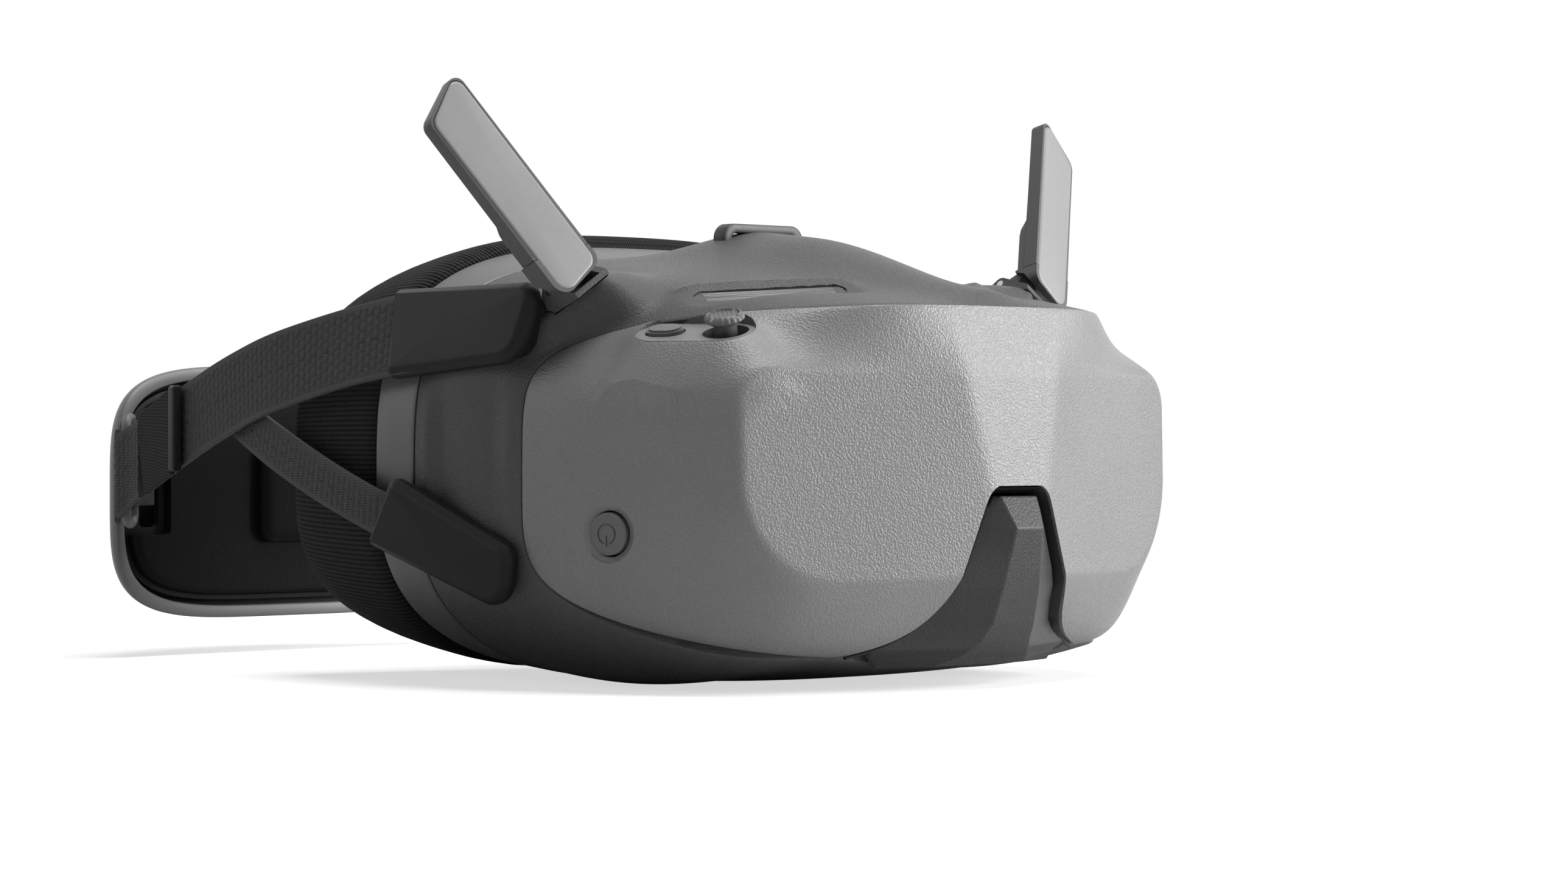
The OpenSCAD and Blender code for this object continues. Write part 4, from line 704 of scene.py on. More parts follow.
def raise_pedestals(grid, shares):
    """Draws the housing up to each antenna's saddle: in a frame slanted along the shoulder, the height falls away
    in a soft slope from the saddle's outline, less steeply towards the middle, and fades out at the front seam."""
    hold = ease((shares - 0.02) / 0.2)[:, None]
    for side in SIDES.values():
        spot = hinge_spot(side)
        local = spot.into(grid)
        slant = 0.66 * (local[..., 2] + 3.6)
        v = local[..., 1] + slant
        away = np.maximum(polygon_distance(local[..., 0], v, PEDESTAL_TOP, 0.5), 0)
        aim = -3.5 - 0.95 * away - 0.012 * away ** 2
        near = (away < 20) & (local[..., 2] > -26) & (local[..., 2] < 6)
        raised = np.where(near, smooth_max(local[..., 2], aim, 2.4 * ease(away / 6) + 0.6), local[..., 2])
        raised = np.where(near, mix(local[..., 2], raised, hold * (1 - ease((away - 13) / 7))), raised)
        local[..., 1] = v - 0.66 * (raised + 3.6)
        local[..., 2] = raised
        grid = spot.out(local)
    return grid


def flare_vents(grid):
    """Levels the housing round each vent slot into a shallow scoop that slopes up to a brow behind the slot."""
    for side in SIDES.values():
        spot = vent_spot(side)
        local = spot.into(grid)
        away = stadium_distance(local[..., 0], local[..., 1], 40, 6)
        near = np.abs(local[..., 2]) < 12
        scoop = -1.0 + 0.2 * np.clip(local[..., 1] + 2.8, -2, 8) + 1.4 * ease((local[..., 1] - 2.9) / 2.6)
        hold = np.where(near, 1 - ease((away - 0.8) / 6.5), 0)
        local[..., 2] = mix(local[..., 2], scoop, hold)
        grid = spot.out(local)
    return grid


def vent_weave(name, side):
    """The mesh in a vent slot: a sheet with wires that cross both ways, higher at its rear edge."""
    outline = stadium(39.6, 5.6, 500)
    rows = []
    for inset, height in [(0, -3.6), *((k, 0.0) for k in np.arange(0, 2.75, 0.11))]:
        flat = outline(inset)
        x, y = flat.T
        wires = 0.16 * np.maximum(np.sin(2 * np.pi * (x + 1.1 * y) / 1.25),
                                  np.sin(2 * np.pi * (x - 1.1 * y) / 1.25))
        top = -1.45 + 0.2 * (y + 2.8) + wires
        rows.append(np.column_stack([x, y, np.full_like(x, height) if height else top]))
    return surface("vent_weave_" + name, vent_spot(side).out(np.array(rows)), sharp=60)


def make_housing(finish):
    """The housing between cover and bezel, with its vents, saddles, sockets and the slot for the focus slider."""
    s = shell()
    turn_by = np.linspace(0, 2 * np.pi, 560, endpoint=False)
    shares = np.concatenate([[0.0, 0.004, 0.012], np.linspace(0.03, 0.97, 68), [0.988, 0.996, 1.0]])
    insets = np.interp(shares, [0, 0.004, 0.012, 0.03, 0.97, 0.988, 0.996, 1],
                       [0.5, 0.15, 0, 0, 0, 0, 0.15, 0.5])
    outer = np.array([housing_ring(turn_by, a, b) for a, b in zip(shares, insets)])
    inner = np.array([housing_ring(turn_by, a, s.housing_wall) for a in np.linspace(1, 0, 9)])
    outer = flare_vents(raise_pedestals(outer, shares))
    housing = surface("housing_shell", np.concatenate([outer, inner]), wrap_rows=True)
    cutters = []
    for name, side in SIDES.items():
        cutters.append(prism("vent_cut_" + name, stadium(40, 6, 40), [(0, -12), (0, 12)], vent_spot(side)))
        seat = hinge_spot(side)
        box = np.array([[-9.5, -2.15], [3.3, -2.15], [3.3, 14.55], [-9.5, 14.55]])
        cutters.append(prism("seat_cut_" + name, lambda inset, box=box: box, [(0, -5.45), (0, 7)], seat))
    cutters.append(prism("focus_cut", stadium(17, 7), [(0, -4), (0, 10)], Spot(turn(z=90), [0, -26, 0])))
    cutters.append(prism("usb_cut", stadium(9.6, 3.9), [(0, -4), (0, 36)],
                         Spot(turn(y=90) @ turn(z=90), [86, 10, 58])))
    cutters.append(prism("jack_cut", disc(3.3), [(0, -4), (0, 36)], Spot(turn(y=90), [86, 22, 58])))
    carve(housing, cutters)
    dress(housing, finish["housing"], replaces=["main_housing"])
    for name, side in SIDES.items():
        weave = vent_weave(name, side)
        dress(weave, finish["mesh"], replaces=["vent_mesh_" + name])
    for level in ("upper", "lower"):
        for name, side in SIDES.items():
            outline = hull_of_circles(PLATES[level])
            # A matt black boss sits beneath each plate, inset from its outline, in the gap over the housing. Its
            # black is painted shade under the plate, not the housing's own colour.
            painted_shade_boss = prism(f"{level}_boss_{name}", outline, [(2.2, -12), (2.2, -5), (2.5, -4.4)],
                         plate_spot(level, side))
            dress(painted_shade_boss, finish["black"])


PLATES = {
    "upper": [(27.7, 10, 1.4), (-19.2, 7.7, 4.6), (-13.8, -0.3, 8.2), (25.2, -8.9, 3)],
    "lower": [(17.8, 7.9, 3.5), (-21, 2.3, 5), (-18.1, -2.2, 8), (24.4, -7.1, 1.9)],
}


def bezel_ring(turn_by, share, inset=0.0):
    """Points round the bezel from the housing's seam (share 0) to the foam (share 1)."""
    s = shell()
    ax, az = oval(turn_by, s.cover_w / 2 - inset, s.housing_top - inset, inset - REST_DROP - 1.2, 3.2, 2.7)
    bx, bz = oval(turn_by, s.cover_w / 2 - 0.5 - inset, soft().foam_top - 4 - inset, inset - REST_DROP + 0.4, 3,
                  2.7)
    y = s.housing_len + s.seam_gap + share * (s.bezel_len - 2 * s.seam_gap)
    x = mix(ax, bx, share)
    z = np.maximum(mix(az, bz, share), inset - REST_DROP)
    lift = np.where(z > SEAM_Z, 0, nose_arch(x, np.full_like(x, y)) * np.clip((SEAM_Z - z) / 40, 0, 1))
    return np.column_stack([x, np.full_like(x, y), z + lift])


def make_bezel(finish):
    """The smooth bezel between housing and foam, with rounded edges."""
    turn_by = np.linspace(0, 2 * np.pi, 480, endpoint=False)
    outer = [bezel_ring(turn_by, a, b) for a, b in
             [(0, 0.8), (0.006, 0.3), (0.03, 0.05), (0.06, 0), (0.3, 0), (0.6, 0), (0.93, 0), (0.97, 0.15),
              (1, 0.8)]]
    inner = [bezel_ring(turn_by, a, 4) for a in (1, 0.5, 0)]
    bezel = surface("bezel_ring", np.array(outer + inner), wrap_rows=True)
    dress(bezel, finish["bezel"], replaces=["rear_bezel"])


# ---------- face foam ----------
def foam_ring(turn_by, inset, share):
    """Points round the foam at a distance in from its outside and a share of its depth.

    The depth grows towards the temples.
    """
    s = soft()
    low = 0.1 - REST_DROP
    x, z = oval(turn_by, s.foam_w / 2 - inset, s.foam_top - inset, low + inset, 3, 3)
    edge_x, _ = oval(turn_by, s.foam_w / 2, s.foam_top, low, 3, 3)
    depth = mix(s.foam_brow_len, s.foam_side_len, ease((np.abs(edge_x) - 12) / (s.foam_w / 2 - 16)))
    front = shell().housing_len + shell().bezel_len + shell().seam_gap
    lift = np.where(z > SEAM_Z, 0, nose_arch(x, np.full_like(x, 60.0)) * np.clip((SEAM_Z - z) / 40, 0, 1))
    return np.column_stack([x, front + share * depth, z + lift])


def make_foam(finish):
    """The face foam: a ring swept round the face opening, swollen as a cloth bag under pressure, then ribbed."""
    s = soft()
    section = np.array([[1, 0], [0, 0.08], [1.2, 0.35], [3.4, 0.65], [6.4, 0.88], [s.foam_wall * 0.5, 1],
                        [s.foam_wall - 3, 0.9], [s.foam_wall, 0.6], [s.foam_wall, 0]])
    share = np.linspace(0, 1, 34)
    where = np.linspace(0, 1, len(section))
    inset = np.interp(share, where, section[:, 0])
    deep = np.interp(share, where, section[:, 1])
    for _ in range(2):
        inset[1:-1] = (inset[:-2] + 2 * inset[1:-1] + inset[2:]) / 4
        deep[1:-1] = (deep[:-2] + 2 * deep[1:-1] + deep[2:]) / 4
    turn_by = np.linspace(0, 2 * np.pi, 360, endpoint=False) - np.pi / 2
    grid = np.array([foam_ring(turn_by, a + 0.5, b) for a, b in zip(inset, deep)])
    foam = surface("face_cushion", grid, wrap_rows=True)
    swell(foam, voxel=2.6, pressure=3.0, cap=s.foam_swell)
    knit_map(foam)
    dress(foam, finish["foam"], replaces=["face_foam"])


def swell(piece, voxel, pressure, cap):
    """Remeshes a closed piece, blows it up as cloth, and keeps each point within cap millimetres of its start."""
    modifier = piece.modifiers.new("Remesh", "REMESH")
    modifier.mode = "VOXEL"
    modifier.voxel_size = voxel * MM
    modifier.use_smooth_shade = True
    keep_result(piece)
    start = points_of(piece)
    cloth = piece.modifiers.new("Cloth", "CLOTH")
    cloth.settings.use_pressure = True
    cloth.settings.uniform_pressure_force = pressure
    cloth.settings.effector_weights.gravity = 0
    scene = bpy.context.scene
    for step in range(1, 21):
        scene.frame_set(step)
    keep_result(piece)
    scene.frame_set(1)
    move = points_of(piece) - start
    size = np.linalg.norm(move, axis=1, keepdims=True)
    held = start + move * np.minimum(1, cap * MM / np.maximum(size, 1e-9))
    held[:, 2] = np.maximum(held[:, 2], 0)
    piece.data.vertices.foreach_set("co", held.astype(np.float32).ravel())
    modifier = piece.modifiers.new("Smooth", "SUBSURF")
    modifier.levels = 1
    modifier.render_levels = 1
    keep_result(piece)


def keep_result(piece):
    """Applies the piece's modifiers to its mesh."""
    bpy.context.view_layer.update()
    result = bpy.data.meshes.new_from_object(piece.evaluated_get(bpy.context.evaluated_depsgraph_get()))
    piece.modifiers.clear()
    old = piece.data
    piece.data = result
    bpy.data.meshes.remove(old)
    result.shade_smooth()


def points_of(piece):
    """The piece's vertices as an array in metres."""
    flat = np.zeros(len(piece.data.vertices) * 3, np.float32)
    piece.data.vertices.foreach_get("co", flat)
    return flat.reshape(-1, 3).astype(float)


def knit_map(piece):
    """A UV map for the knit: u runs round the face opening and v along its depth, both in metres."""
    mesh = piece.data
    corners = np.zeros(len(mesh.loops), np.int32)
    mesh.loops.foreach_get("vertex_index", corners)
    p = points_of(piece)
    middle = (SEAM_Z + REST_DROP + 4) * MM
    around = np.arctan2(p[:, 0], p[:, 2] - middle) * 0.078
    uv = np.column_stack([around, p[:, 1]])[corners]
    if not mesh.uv_layers:
        mesh.uv_layers.new(name="Weave")
    mesh.uv_layers[0].data.foreach_set("uv", uv.astype(np.float32).ravel())


# ---------- top loop, plates, antennas ----------
def round_box(width, height, radius, count=12):
    """Outline of a rectangle with round corners, by its inset."""
    bend = np.linspace(0, np.pi / 2, count)

    def outline(inset):
        r = max(radius - inset, 0.05)
        parts = []
        for quarter in range(4):
            turn_by = bend + quarter * np.pi / 2
            sx = 1 if quarter in (0, 3) else -1
            sy = 1 if quarter < 2 else -1
            parts.append(np.column_stack([sx * (width / 2 - inset - r) + r * np.cos(turn_by),
                                          sy * (height / 2 - inset - r) + r * np.sin(turn_by)]))
        return np.vstack(parts)
    return outline


def make_loop(finish):
    """The flat ring behind the ridge: a rounded box outline swept as a rounded band."""
    centre = Spot(turn(x=90), [0, 12.5, 117.8 - 5])
    outer, inner = round_box(30, 10, 4), round_box(24.2, 5.2, 2)
    rise = [(0.5, 0), (0.15, 0.15), (0, 0.5), (0, 4.0), (0.15, 4.35), (0.5, 4.5)]
    levels = [(outer, inset, z) for inset, z in rise] + [(inner, -inset, z) for inset, z in rise[::-1]]
    grid = np.array([np.column_stack([o(i), np.full(48, z)]) for o, i, z in levels])
    loop = surface("head_strap_loop", centre.out(grid), wrap_rows=True)
    dress(loop, finish["loop"], replaces=["top_strap_loop"])


def make_plates(finish):
    """The strap plates: rounded outlines with a bevelled rim."""
    for level in ("upper", "lower"):
        for name, side in SIDES.items():
            outline = hull_of_circles(PLATES[level], 240)
            # The face stays a little low, so that the folded antenna's foot clears it
            levels = [(0.5, -4.2), (0.12, -4.0), (0, -3.7), (0, -2.1),
                      (0.2, -1.7), (1.55, -0.55), (2.0, -0.35), (2.8, -0.25)]
            spot = plate_spot(level, side)
            plate = prism(f"{level}_strap_plate_{name}", outline, levels, spot, sharp=50)
            dress(plate, finish["plate"], replaces=[f"{level}_plate_{name}"])


def blade_outline(half, top, foot, r=2.6, count=96):
    """Outline of a blade, with a straight or slanted foot.

    Of its two round upper corners the outer one is lower and rounder.
    """
    circles = [(-half + r, top - r, r), (half - r - 0.6, top - 4.8 - r, r + 0.6), *foot]
    return hull_of_circles(circles, count)


BLADE_W, BLADE_LEN = 16.2, 57
# Height up the blade, depth behind it and inset from its edge, along the thick lower part of its rear half
SWELL_LEVELS = [(4.3, -3.2, 0.4), (6, -3.2, 0.4), (17, -3.2, 0.4),
                (19, -2.9, 0.4), (23, -0.9, 0.6), (24, -0.5, 1.2)]


def make_antennas(finish):
    """Each antenna: a grained face inside a thin rim, a darker rear half that is thicker below, and a foot."""
    for name, side in SIDES.items():
        spot = hinge_spot(side)
        upright = Spot(spot.rotation @ turn(x=90), spot.place, side)
        half = BLADE_W / 2
        body = "antenna_" + name
        foot = [(-half + 3.4 + 0.9, 2.2, 3.4), (half - 4.2 - 0.9, 1.9, 4.2)]
        outline = blade_outline(half - 0.75, BLADE_LEN - 0.75, foot)
        levels = [(0.9, 3.95), (0.45, 3.9), (0.12, 3.7), (0, 3.35), (0, 1.6)]
        face = prism("antenna_face_" + name, outline, levels, upright, sharp=50)
        dress(face, finish["antenna"], body, [f"antenna_front_{name}"])
        seam = [(-half + 0.01, 4.1, 0.01), (half - 0.01, 9.1, 0.01)]
        rear = blade_outline(half, BLADE_LEN, seam)
        back = prism("antenna_rear_" + name, rear,
                     [(0.35, 3.6), (0.08, 3.5), (0, 3.2), (0, 1.6), (0, -0.1), (0.15, -0.5),
                      (0.7, -0.7)], upright, sharp=50)
        hollow = prism("hollow", blade_outline(half - 0.6, BLADE_LEN - 0.6, foot), [(0, 1.5), (0, 6)], upright)
        carve(back, [hollow], sharp=40)
        thick_rows = []
        for height, depth, inset in SWELL_LEVELS:
            side_x = half - inset
            bend = np.linspace(0, np.pi, 24)[:12]
            r = min(0.9, max(-depth, 0.3))
            corner_x = side_x - r + r * np.cos(bend)
            corner_y = depth + r - r * np.sin(bend)
            x = np.concatenate([[side_x], corner_x, -corner_x[::-1], [-side_x]])
            y = np.concatenate([[0], corner_y, corner_y[::-1], [0]])
            slant = np.where(height < 6, 2.5 * x / half + 2.1, 0)
            thick_rows.append(np.column_stack([x, np.full_like(x, height) + slant, y]))
        grid = np.array(thick_rows)
        thick = surface("antenna_swell_" + name, upright.out(grid), sharp=50)
        dress(thick, finish["antenna_edge"], body)
        dress(back, finish["antenna_edge"], body, [f"antenna_back_{name}"])


# ---------- straps ----------
def smooth_path(points, step):
    """A Catmull-Rom curve through points, sampled at even steps of length in millimetres."""
    p = np.array(points, float)
    p = np.vstack([2 * p[0] - p[1], p, 2 * p[-1] - p[-2]])
    t = np.linspace(0, 1, 24, endpoint=False)[:, None]
    a, b, c, d = (p[k:len(p) - 3 + k][:, None] for k in range(4))
    curve = 0.5 * (2 * b + (c - a) * t + (2 * a - 5 * b + 4 * c - d) * t ** 2 + (3 * b - a - 3 * c + d) * t ** 3)
    curve = np.vstack([curve.reshape(-1, 3), p[-2]])
    run = np.concatenate([[0], np.cumsum(np.linalg.norm(np.diff(curve, axis=0), axis=1))])
    even = np.linspace(0, run[-1], int(run[-1] / step) + 1)
    return np.column_stack([np.interp(even, run, curve[:, k]) for k in range(3)]), even


def band(name, path, width, thick, lean, square_end, side, relief=None, step=0.45, across_step=0.4):
    """A flat band along a path. Its section is a thin bar with round edges, and relief(u, v) raises both faces.
    The lean tips its top edge inwards at the start, and a square end stands upright."""
    centre, run = smooth_path(path, step)
    share = run / run[-1]
    along = unit(np.gradient(centre, axis=0))
    up = unit(np.column_stack([np.tan(math.radians(lean)) * (1 - ease(share * 1.6)), np.zeros_like(share),
                               np.ones_like(share)]))
    keep = (1 - ease(share * 1.4 - 0.2))[:, None] if square_end else np.ones((len(share), 1))
    wide = unit(up - keep * (up * along).sum(1, keepdims=True) * along)
    cross = np.cross(wide, along)
    out = unit(cross)
    slack = np.linalg.norm(cross, axis=1, keepdims=True)
    half = width / 2 / (mix(slack, 1, keep) if square_end else np.ones_like(slack))
    count = int(width / across_step)
    flat = np.linspace(-1, 1, count) * (1 - thick * 0.5 / width)
    bend = np.linspace(-np.pi / 2, np.pi / 2, 7)[1:-1]
    edge = 1 - thick * 0.5 / width + thick / width * np.cos(bend) * 0.5
    v = np.concatenate([flat, edge, flat[::-1], -edge])
    height = np.concatenate([np.full(count, -1.0), np.sin(bend), np.full(count, 1.0), -np.sin(bend)])
    rise = np.zeros((len(run), len(v)))
    if relief:
        faces = np.concatenate([np.ones(count), np.zeros(5), np.ones(count), np.zeros(5)])
        rise = relief(run[:, None], v[None, :] * width / 2, width) * faces
    grid = (centre[:, None] + half[:, None] * v[None, :, None] * wide[:, None]
            + (height * (thick / 2 + rise))[..., None] * out[:, None])
    v_wrap = np.append(v, v[0])
    uv = np.stack(np.broadcast_arrays(run[:, None] * MM, (v_wrap[None, :] + 1) * width / 2 * MM), -1)
    mirror = np.array([-side, 1.0, 1.0])
    return surface(name, grid * mirror, uv=uv, sharp=70)


def basket(u, v, width):
    """Height of the basket weave: rounded cells in columns between plain selvedges.

    Every second column sits half a cell along.
    """
    s = soft()
    edge = width / 2 - 1.5
    column = np.floor(u / s.cell_len)
    fu = u / s.cell_len - column
    row = v / s.cell_w + 0.5 * (column % 2)
    fv = row - np.floor(row)
    dome = (1 - np.abs(2 * fu - 1) ** 2.6) * (1 - np.abs(2 * fv - 1) ** 2.6)
    cells = 0.5 * np.sqrt(np.maximum(dome, 0)) - 0.25
    inside = ease((edge - np.abs(v)) / 0.6)
    return cells * inside + 0.02 * (1 - inside)


def ribs(u, v, width):
    """Height of fine ribs across a plain webbing."""
    return 0.06 * np.cos(2 * np.pi * u / 1.1) * ease((width / 2 - np.abs(v)) / 0.8)


UPPER_PATH = [(-95.6, 37, 88.0), (-95.8, 46, 87.3), (-94.8, 69, 84.2), (-91.5, 100.5, 78.6), (-87, 122, 73.8),
              (-81.4, 144.5, 67.8), (-74.6, 170, 60), (-69.9, 186, 54.8)]
STRAP_BAR = np.array([-69.2, 194.4])
LOOP_BAR = np.array([-63.9, 197.7])
BAR_R = 1.3
RING_LOW, RING_HIGH = 35.0, 68.0


def make_straps(finish):
    """Upper straps, which fold back round the pack's rings, and lower straps, in basket weave."""
    s = soft()
    r = BAR_R + 0.15 + s.strap_thick / 2
    wrap = [(STRAP_BAR[0] + r * math.cos(math.radians(a)), STRAP_BAR[1] + r * math.sin(math.radians(a)),
             51.6 - 0.012 * a)
            for a in np.arange(-15, 166, 22.5)]
    upper = UPPER_PATH + wrap + [(-71.9, 189, 52.7), (-73.9, 181.6, 55.5)]
    lower = [(-99, 38.4, 38.4), (-99.4, 51.6, 42.5), (-95.6, 76, 49.9), (-90.2, 102.1, 58.6),
             (-85.5, 118.7, 64.3), (-83.3, 126.8, 67.5)]
    for name, side in SIDES.items():
        strap = band("upper_webbing_" + name, upper, s.strap_w, s.strap_thick - 0.5, 12, True, side, basket)
        dress(strap, finish["webbing"], replaces=["upper_strap_" + name])
        strap = band("lower_webbing_" + name, lower, s.lower_strap_w, s.strap_thick - 0.5, -9, False, side,
                     basket)
        dress(strap, finish["webbing"], replaces=["lower_strap_" + name])


END_PATH = [(-74.25, 180.5, 56), (-76.3, 173.5, 58.2), (-78.7, 165.5, 60.7), (-80.6, 158.8, 62.9)]


def make_strap_ends(finish):
    """The stitched patch that holds each folded strap, with a stiff tab at its end."""
    s = soft()
    for name, side in SIDES.items():
        patch = band("strap_patch_" + name, END_PATH, s.strap_w + 1.6, 1.5, 0, True, side, None, step=0.6)
        p = np.array(END_PATH, float)
        along = unit(p[3] - p[2])
        ahead = unit(np.array([along[0], along[1], 0.0]))
        upright = np.array([0.0, 0.0, 1.0])
        frame_turn = np.column_stack([np.cross(upright, ahead), upright, ahead])
        tab = prism("strap_tab_" + name, round_box(2.6, s.strap_w + 2.4, 1.0),
                    round_levels(-2, 2, 0.5, both=True),
                    Spot(frame_turn, p[3] + along * 2.05, -side))
        dress(tab, finish["plate"])
        dress(patch, finish["patch"], replaces=["strap_end_" + name])


def make_buckles(finish):
    """The wire ring at each end of the pack: a race-track loop with a round section."""
    span = LOOP_BAR - STRAP_BAR
    half = np.linalg.norm(span) / 2
    middle = (LOOP_BAR + STRAP_BAR) / 2
    ux = np.array([span[0], span[1], 0]) / (2 * half)
    uz = np.array([0.0, 0, 1])
    straight = (RING_HIGH - RING_LOW) / 2 - BAR_R - half
    bend = np.linspace(0, np.pi, 24)
    top = np.column_stack([half * np.cos(bend), straight + half * np.sin(bend)])
    path = np.vstack([top, -top])
    facing = np.vstack([np.column_stack([np.cos(bend), np.sin(bend)])] * 2)
    facing[24:] *= -1
    section = np.linspace(0, 2 * np.pi, 24, endpoint=False)
    normal = np.cross(ux, uz)
    centre = np.array([middle[0], middle[1], (RING_HIGH + RING_LOW) / 2])
    radial = facing[:, :1] * ux + facing[:, 1:] * uz
    line = centre + path[:, :1] * ux + path[:, 1:] * uz
    round_bar = np.cos(section)[None, :, None] * radial[:, None] + np.sin(section)[None, :, None] * normal
    grid = line[:, None] + BAR_R * round_bar
    for name, side in SIDES.items():
        ring = surface("pack_ring_" + name, grid * np.array([-side, 1.0, 1.0]), wrap_rows=True)
        dress(ring, finish["satin"], replaces=["buckle_" + name])


def make_pack_loops(finish):
    """Webbing from each of the pack's slots round the ring's inner bar and back."""
    r = BAR_R + 0.15 + 0.6
    mid = (RING_HIGH + RING_LOW) / 2
    path = [(-54.1, 211, mid), (-54.1, 206, mid), (-55.4, 200.5, mid), (-58.8, 197.1, mid)]
    path += [(LOOP_BAR[0] + r * math.cos(math.radians(a)), LOOP_BAR[1] + r * math.sin(math.radians(a)), mid)
             for a in range(-80, -261, -30)]
    path += [(-60.9, 200, mid), (-58, 201.3, mid), (-56.3, 203.7, mid), (-55.8, 207.5, mid), (-55.7, 211, mid)]
    for name, side in SIDES.items():
        loop = band("slot_webbing_" + name, path, 20, 1.1, 0, False, side, ribs, step=0.2)
        dress(loop, finish["webbing_plain"], replaces=["pack_loop_" + name])


# ---------- battery pack ----------
PACK_Y, PACK_Z, PACK_SAG, PACK_POWER = 205.0, 45.0, 5.0, 4.2


def pack_front(x):
    """Depth of the pack's rim, which curves round the head as a parabola."""
    return PACK_Y - PACK_SAG * (x / (soft().pack_w / 2)) ** 2


def pack_outline(turn_by, inset):
    """Outline of the pack: a superellipse."""
    s = soft()
    c, n = np.cos(turn_by), np.sin(turn_by)
    reach = (np.abs(c) ** PACK_POWER + np.abs(n) ** PACK_POWER) ** (-1 / PACK_POWER)
    return (s.pack_w / 2 - inset) * reach * c, PACK_Z + (s.pack_h / 2 - inset) * reach * n


def pack_ring(turn_by, share, inset, offset):
    """Points at a share of the way from the pack's middle to its outline, at an offset behind the rim's curve."""
    x, z = pack_outline(turn_by, inset)
    x, z = x * share, mix(PACK_Z, z, share)
    return np.column_stack([x, pack_front(x) + offset, z])


def make_pack(finish):
    """The pack: a domed shell with a rim, a frame plate, a soft pad and a centre pad.

    The soft pad has openings for the webbing.
    """
    s = soft()
    turn_by = np.linspace(0, 2 * np.pi, 360, endpoint=False)
    dome = [pack_ring(turn_by, k, 0, 1.5 + (s.pack_thick - 1.5) * max(0, 1 - k ** 1.6) ** (1 / 1.6))
            for k in 1 - np.linspace(0.97, 0, 40) ** 1.8]
    rim = [pack_ring(turn_by, 1, inset, offset)
           for inset, offset in [(0, 0.9), (0.12, 0.45), (0.4, 0.12), (0.8, 0), (2.4, 0),
                                 (3.2, 0.1), (3.5, 0.4), (3.6, 0.9), (3.6, 4)]]
    inside = [pack_ring(turn_by, k, 3.6, 4 + (s.pack_thick - 6.4) * max(0, 1 - k ** 1.6) ** (1 / 1.6))
              for k in (0.96, 0.8, 0.5, 0.1)]
    back = surface("pack_back", np.array(dome + rim + inside))
    dress(back, finish["pack"], replaces=["pack_shell"])

    plate = [pack_ring(turn_by, k, 5.1, offset)
             for k, offset in [(0.05, 5), (0.6, 5), (0.99, 5), (1, 4.8), (1, 2.8),
                               (0.997, 2.65), (0.99, 2.6), (0.6, 2.6), (0.05, 2.6)]]
    plate = surface("pack_face_plate", np.array(plate))
    carve(plate, slot_cutters(0, -4, 12), sharp=40)
    dress(plate, finish["plate"], replaces=["pack_frame"])

    shares = 1 - np.linspace(1, 0, 46)[:-1] ** 1.5 * 0.97
    crown = [pack_ring(turn_by, k, 6.5, -0.6 - 0.35 * (1 - k ** 6) + 1.6 * max(0, (k - 0.955) / 0.045) ** 2.2)
             for k in shares]
    base = [pack_ring(turn_by, k, 6.5, b) for k, b in [(1, 1.8), (1, 2.5), (0.6, 2.55), (0.05, 2.55)]]
    pad = surface("pack_cushion", np.array(crown + base))
    carve(pad, slot_cutters(2.2, -12, 12, outer=12), sharp=50)
    bevel(pad, 0.7, 3, 50)
    dress(pad, finish["pad"], replaces=["pack_pad"])

    outline = round_box(28, 30, 5, 16)
    rows = []
    for inset, front in [(9, -4.75), (5, -4.72), (2.4, -4.6), (1.2, -4.3), (0.4, -3.7), (0, -2.9), (0, -1.4),
                         (0.5, -0.75), (1.4, -0.65)]:
        flat = outline(inset)
        rows.append(np.column_stack([flat[:, 0], pack_front(flat[:, 0]) + front, PACK_Z + flat[:, 1]]))
    centre = surface("pack_centre_cushion", np.array(rows), sharp=60)
    dress(centre, finish["pad"], replaces=["pack_centre_pad"])


def slot_cutters(grow, y0, y1, outer=0.0):
    """Boxes that cut the two webbing slots, wider to the outside where asked."""
    cutters = []
    for name, side in SIDES.items():
        width = 7.6 + 2 * grow + outer
        outline = round_box(width, RING_HIGH - RING_LOW + 2 * grow, 1.6)
        spot = Spot(turn(x=90), [side * (49.6 + 3.8 + outer / 2), PACK_Y, (RING_HIGH + RING_LOW) / 2])
        cutters.append(prism("slot_cut_" + name, outline, [(0, -y1), (0, -y0)], spot))
    return cutters


# ---------- finishes ----------
class Graph:
    """A small writer of shader nodes: add() makes a node, sets or links its inputs and returns it."""

    def __init__(self, tree):
        self.tree = tree

    def add(self, kind, settings=None, **inputs):
        """A node whose inputs are given by name, with spaces as underscores, as values or as sockets."""
        made = self.tree.nodes.new(kind)
        for key, value in (settings or {}).items():
            setattr(made, key, value)
        for key, value in inputs.items():
            where = int(key[1:]) if key[0] == "i" and key[1:].isdigit() else key.replace("_", " ")
            if isinstance(value, bpy.types.NodeSocket):
                self.tree.links.new(value, made.inputs[where])
            else:
                made.inputs[where].default_value = value
        return made

    def calc(self, operation, a, b=0.0, c=0.0, clamp=False):
        """A Math node."""
        made = self.add("ShaderNodeMath", {"operation": operation, "use_clamp": clamp}, i0=a, i1=b, i2=c)
        return made.outputs[0]

    def ramp(self, value, low, high, out_low=0.0, out_high=1.0):
        """A smooth step of a value between two limits."""
        made = self.add("ShaderNodeMapRange", {"interpolation_type": "SMOOTHSTEP"}, Value=value)
        made.inputs["From Min"].default_value = low
        made.inputs["From Max"].default_value = high
        made.inputs["To Min"].default_value = out_low
        made.inputs["To Max"].default_value = out_high
        return made.outputs[0]


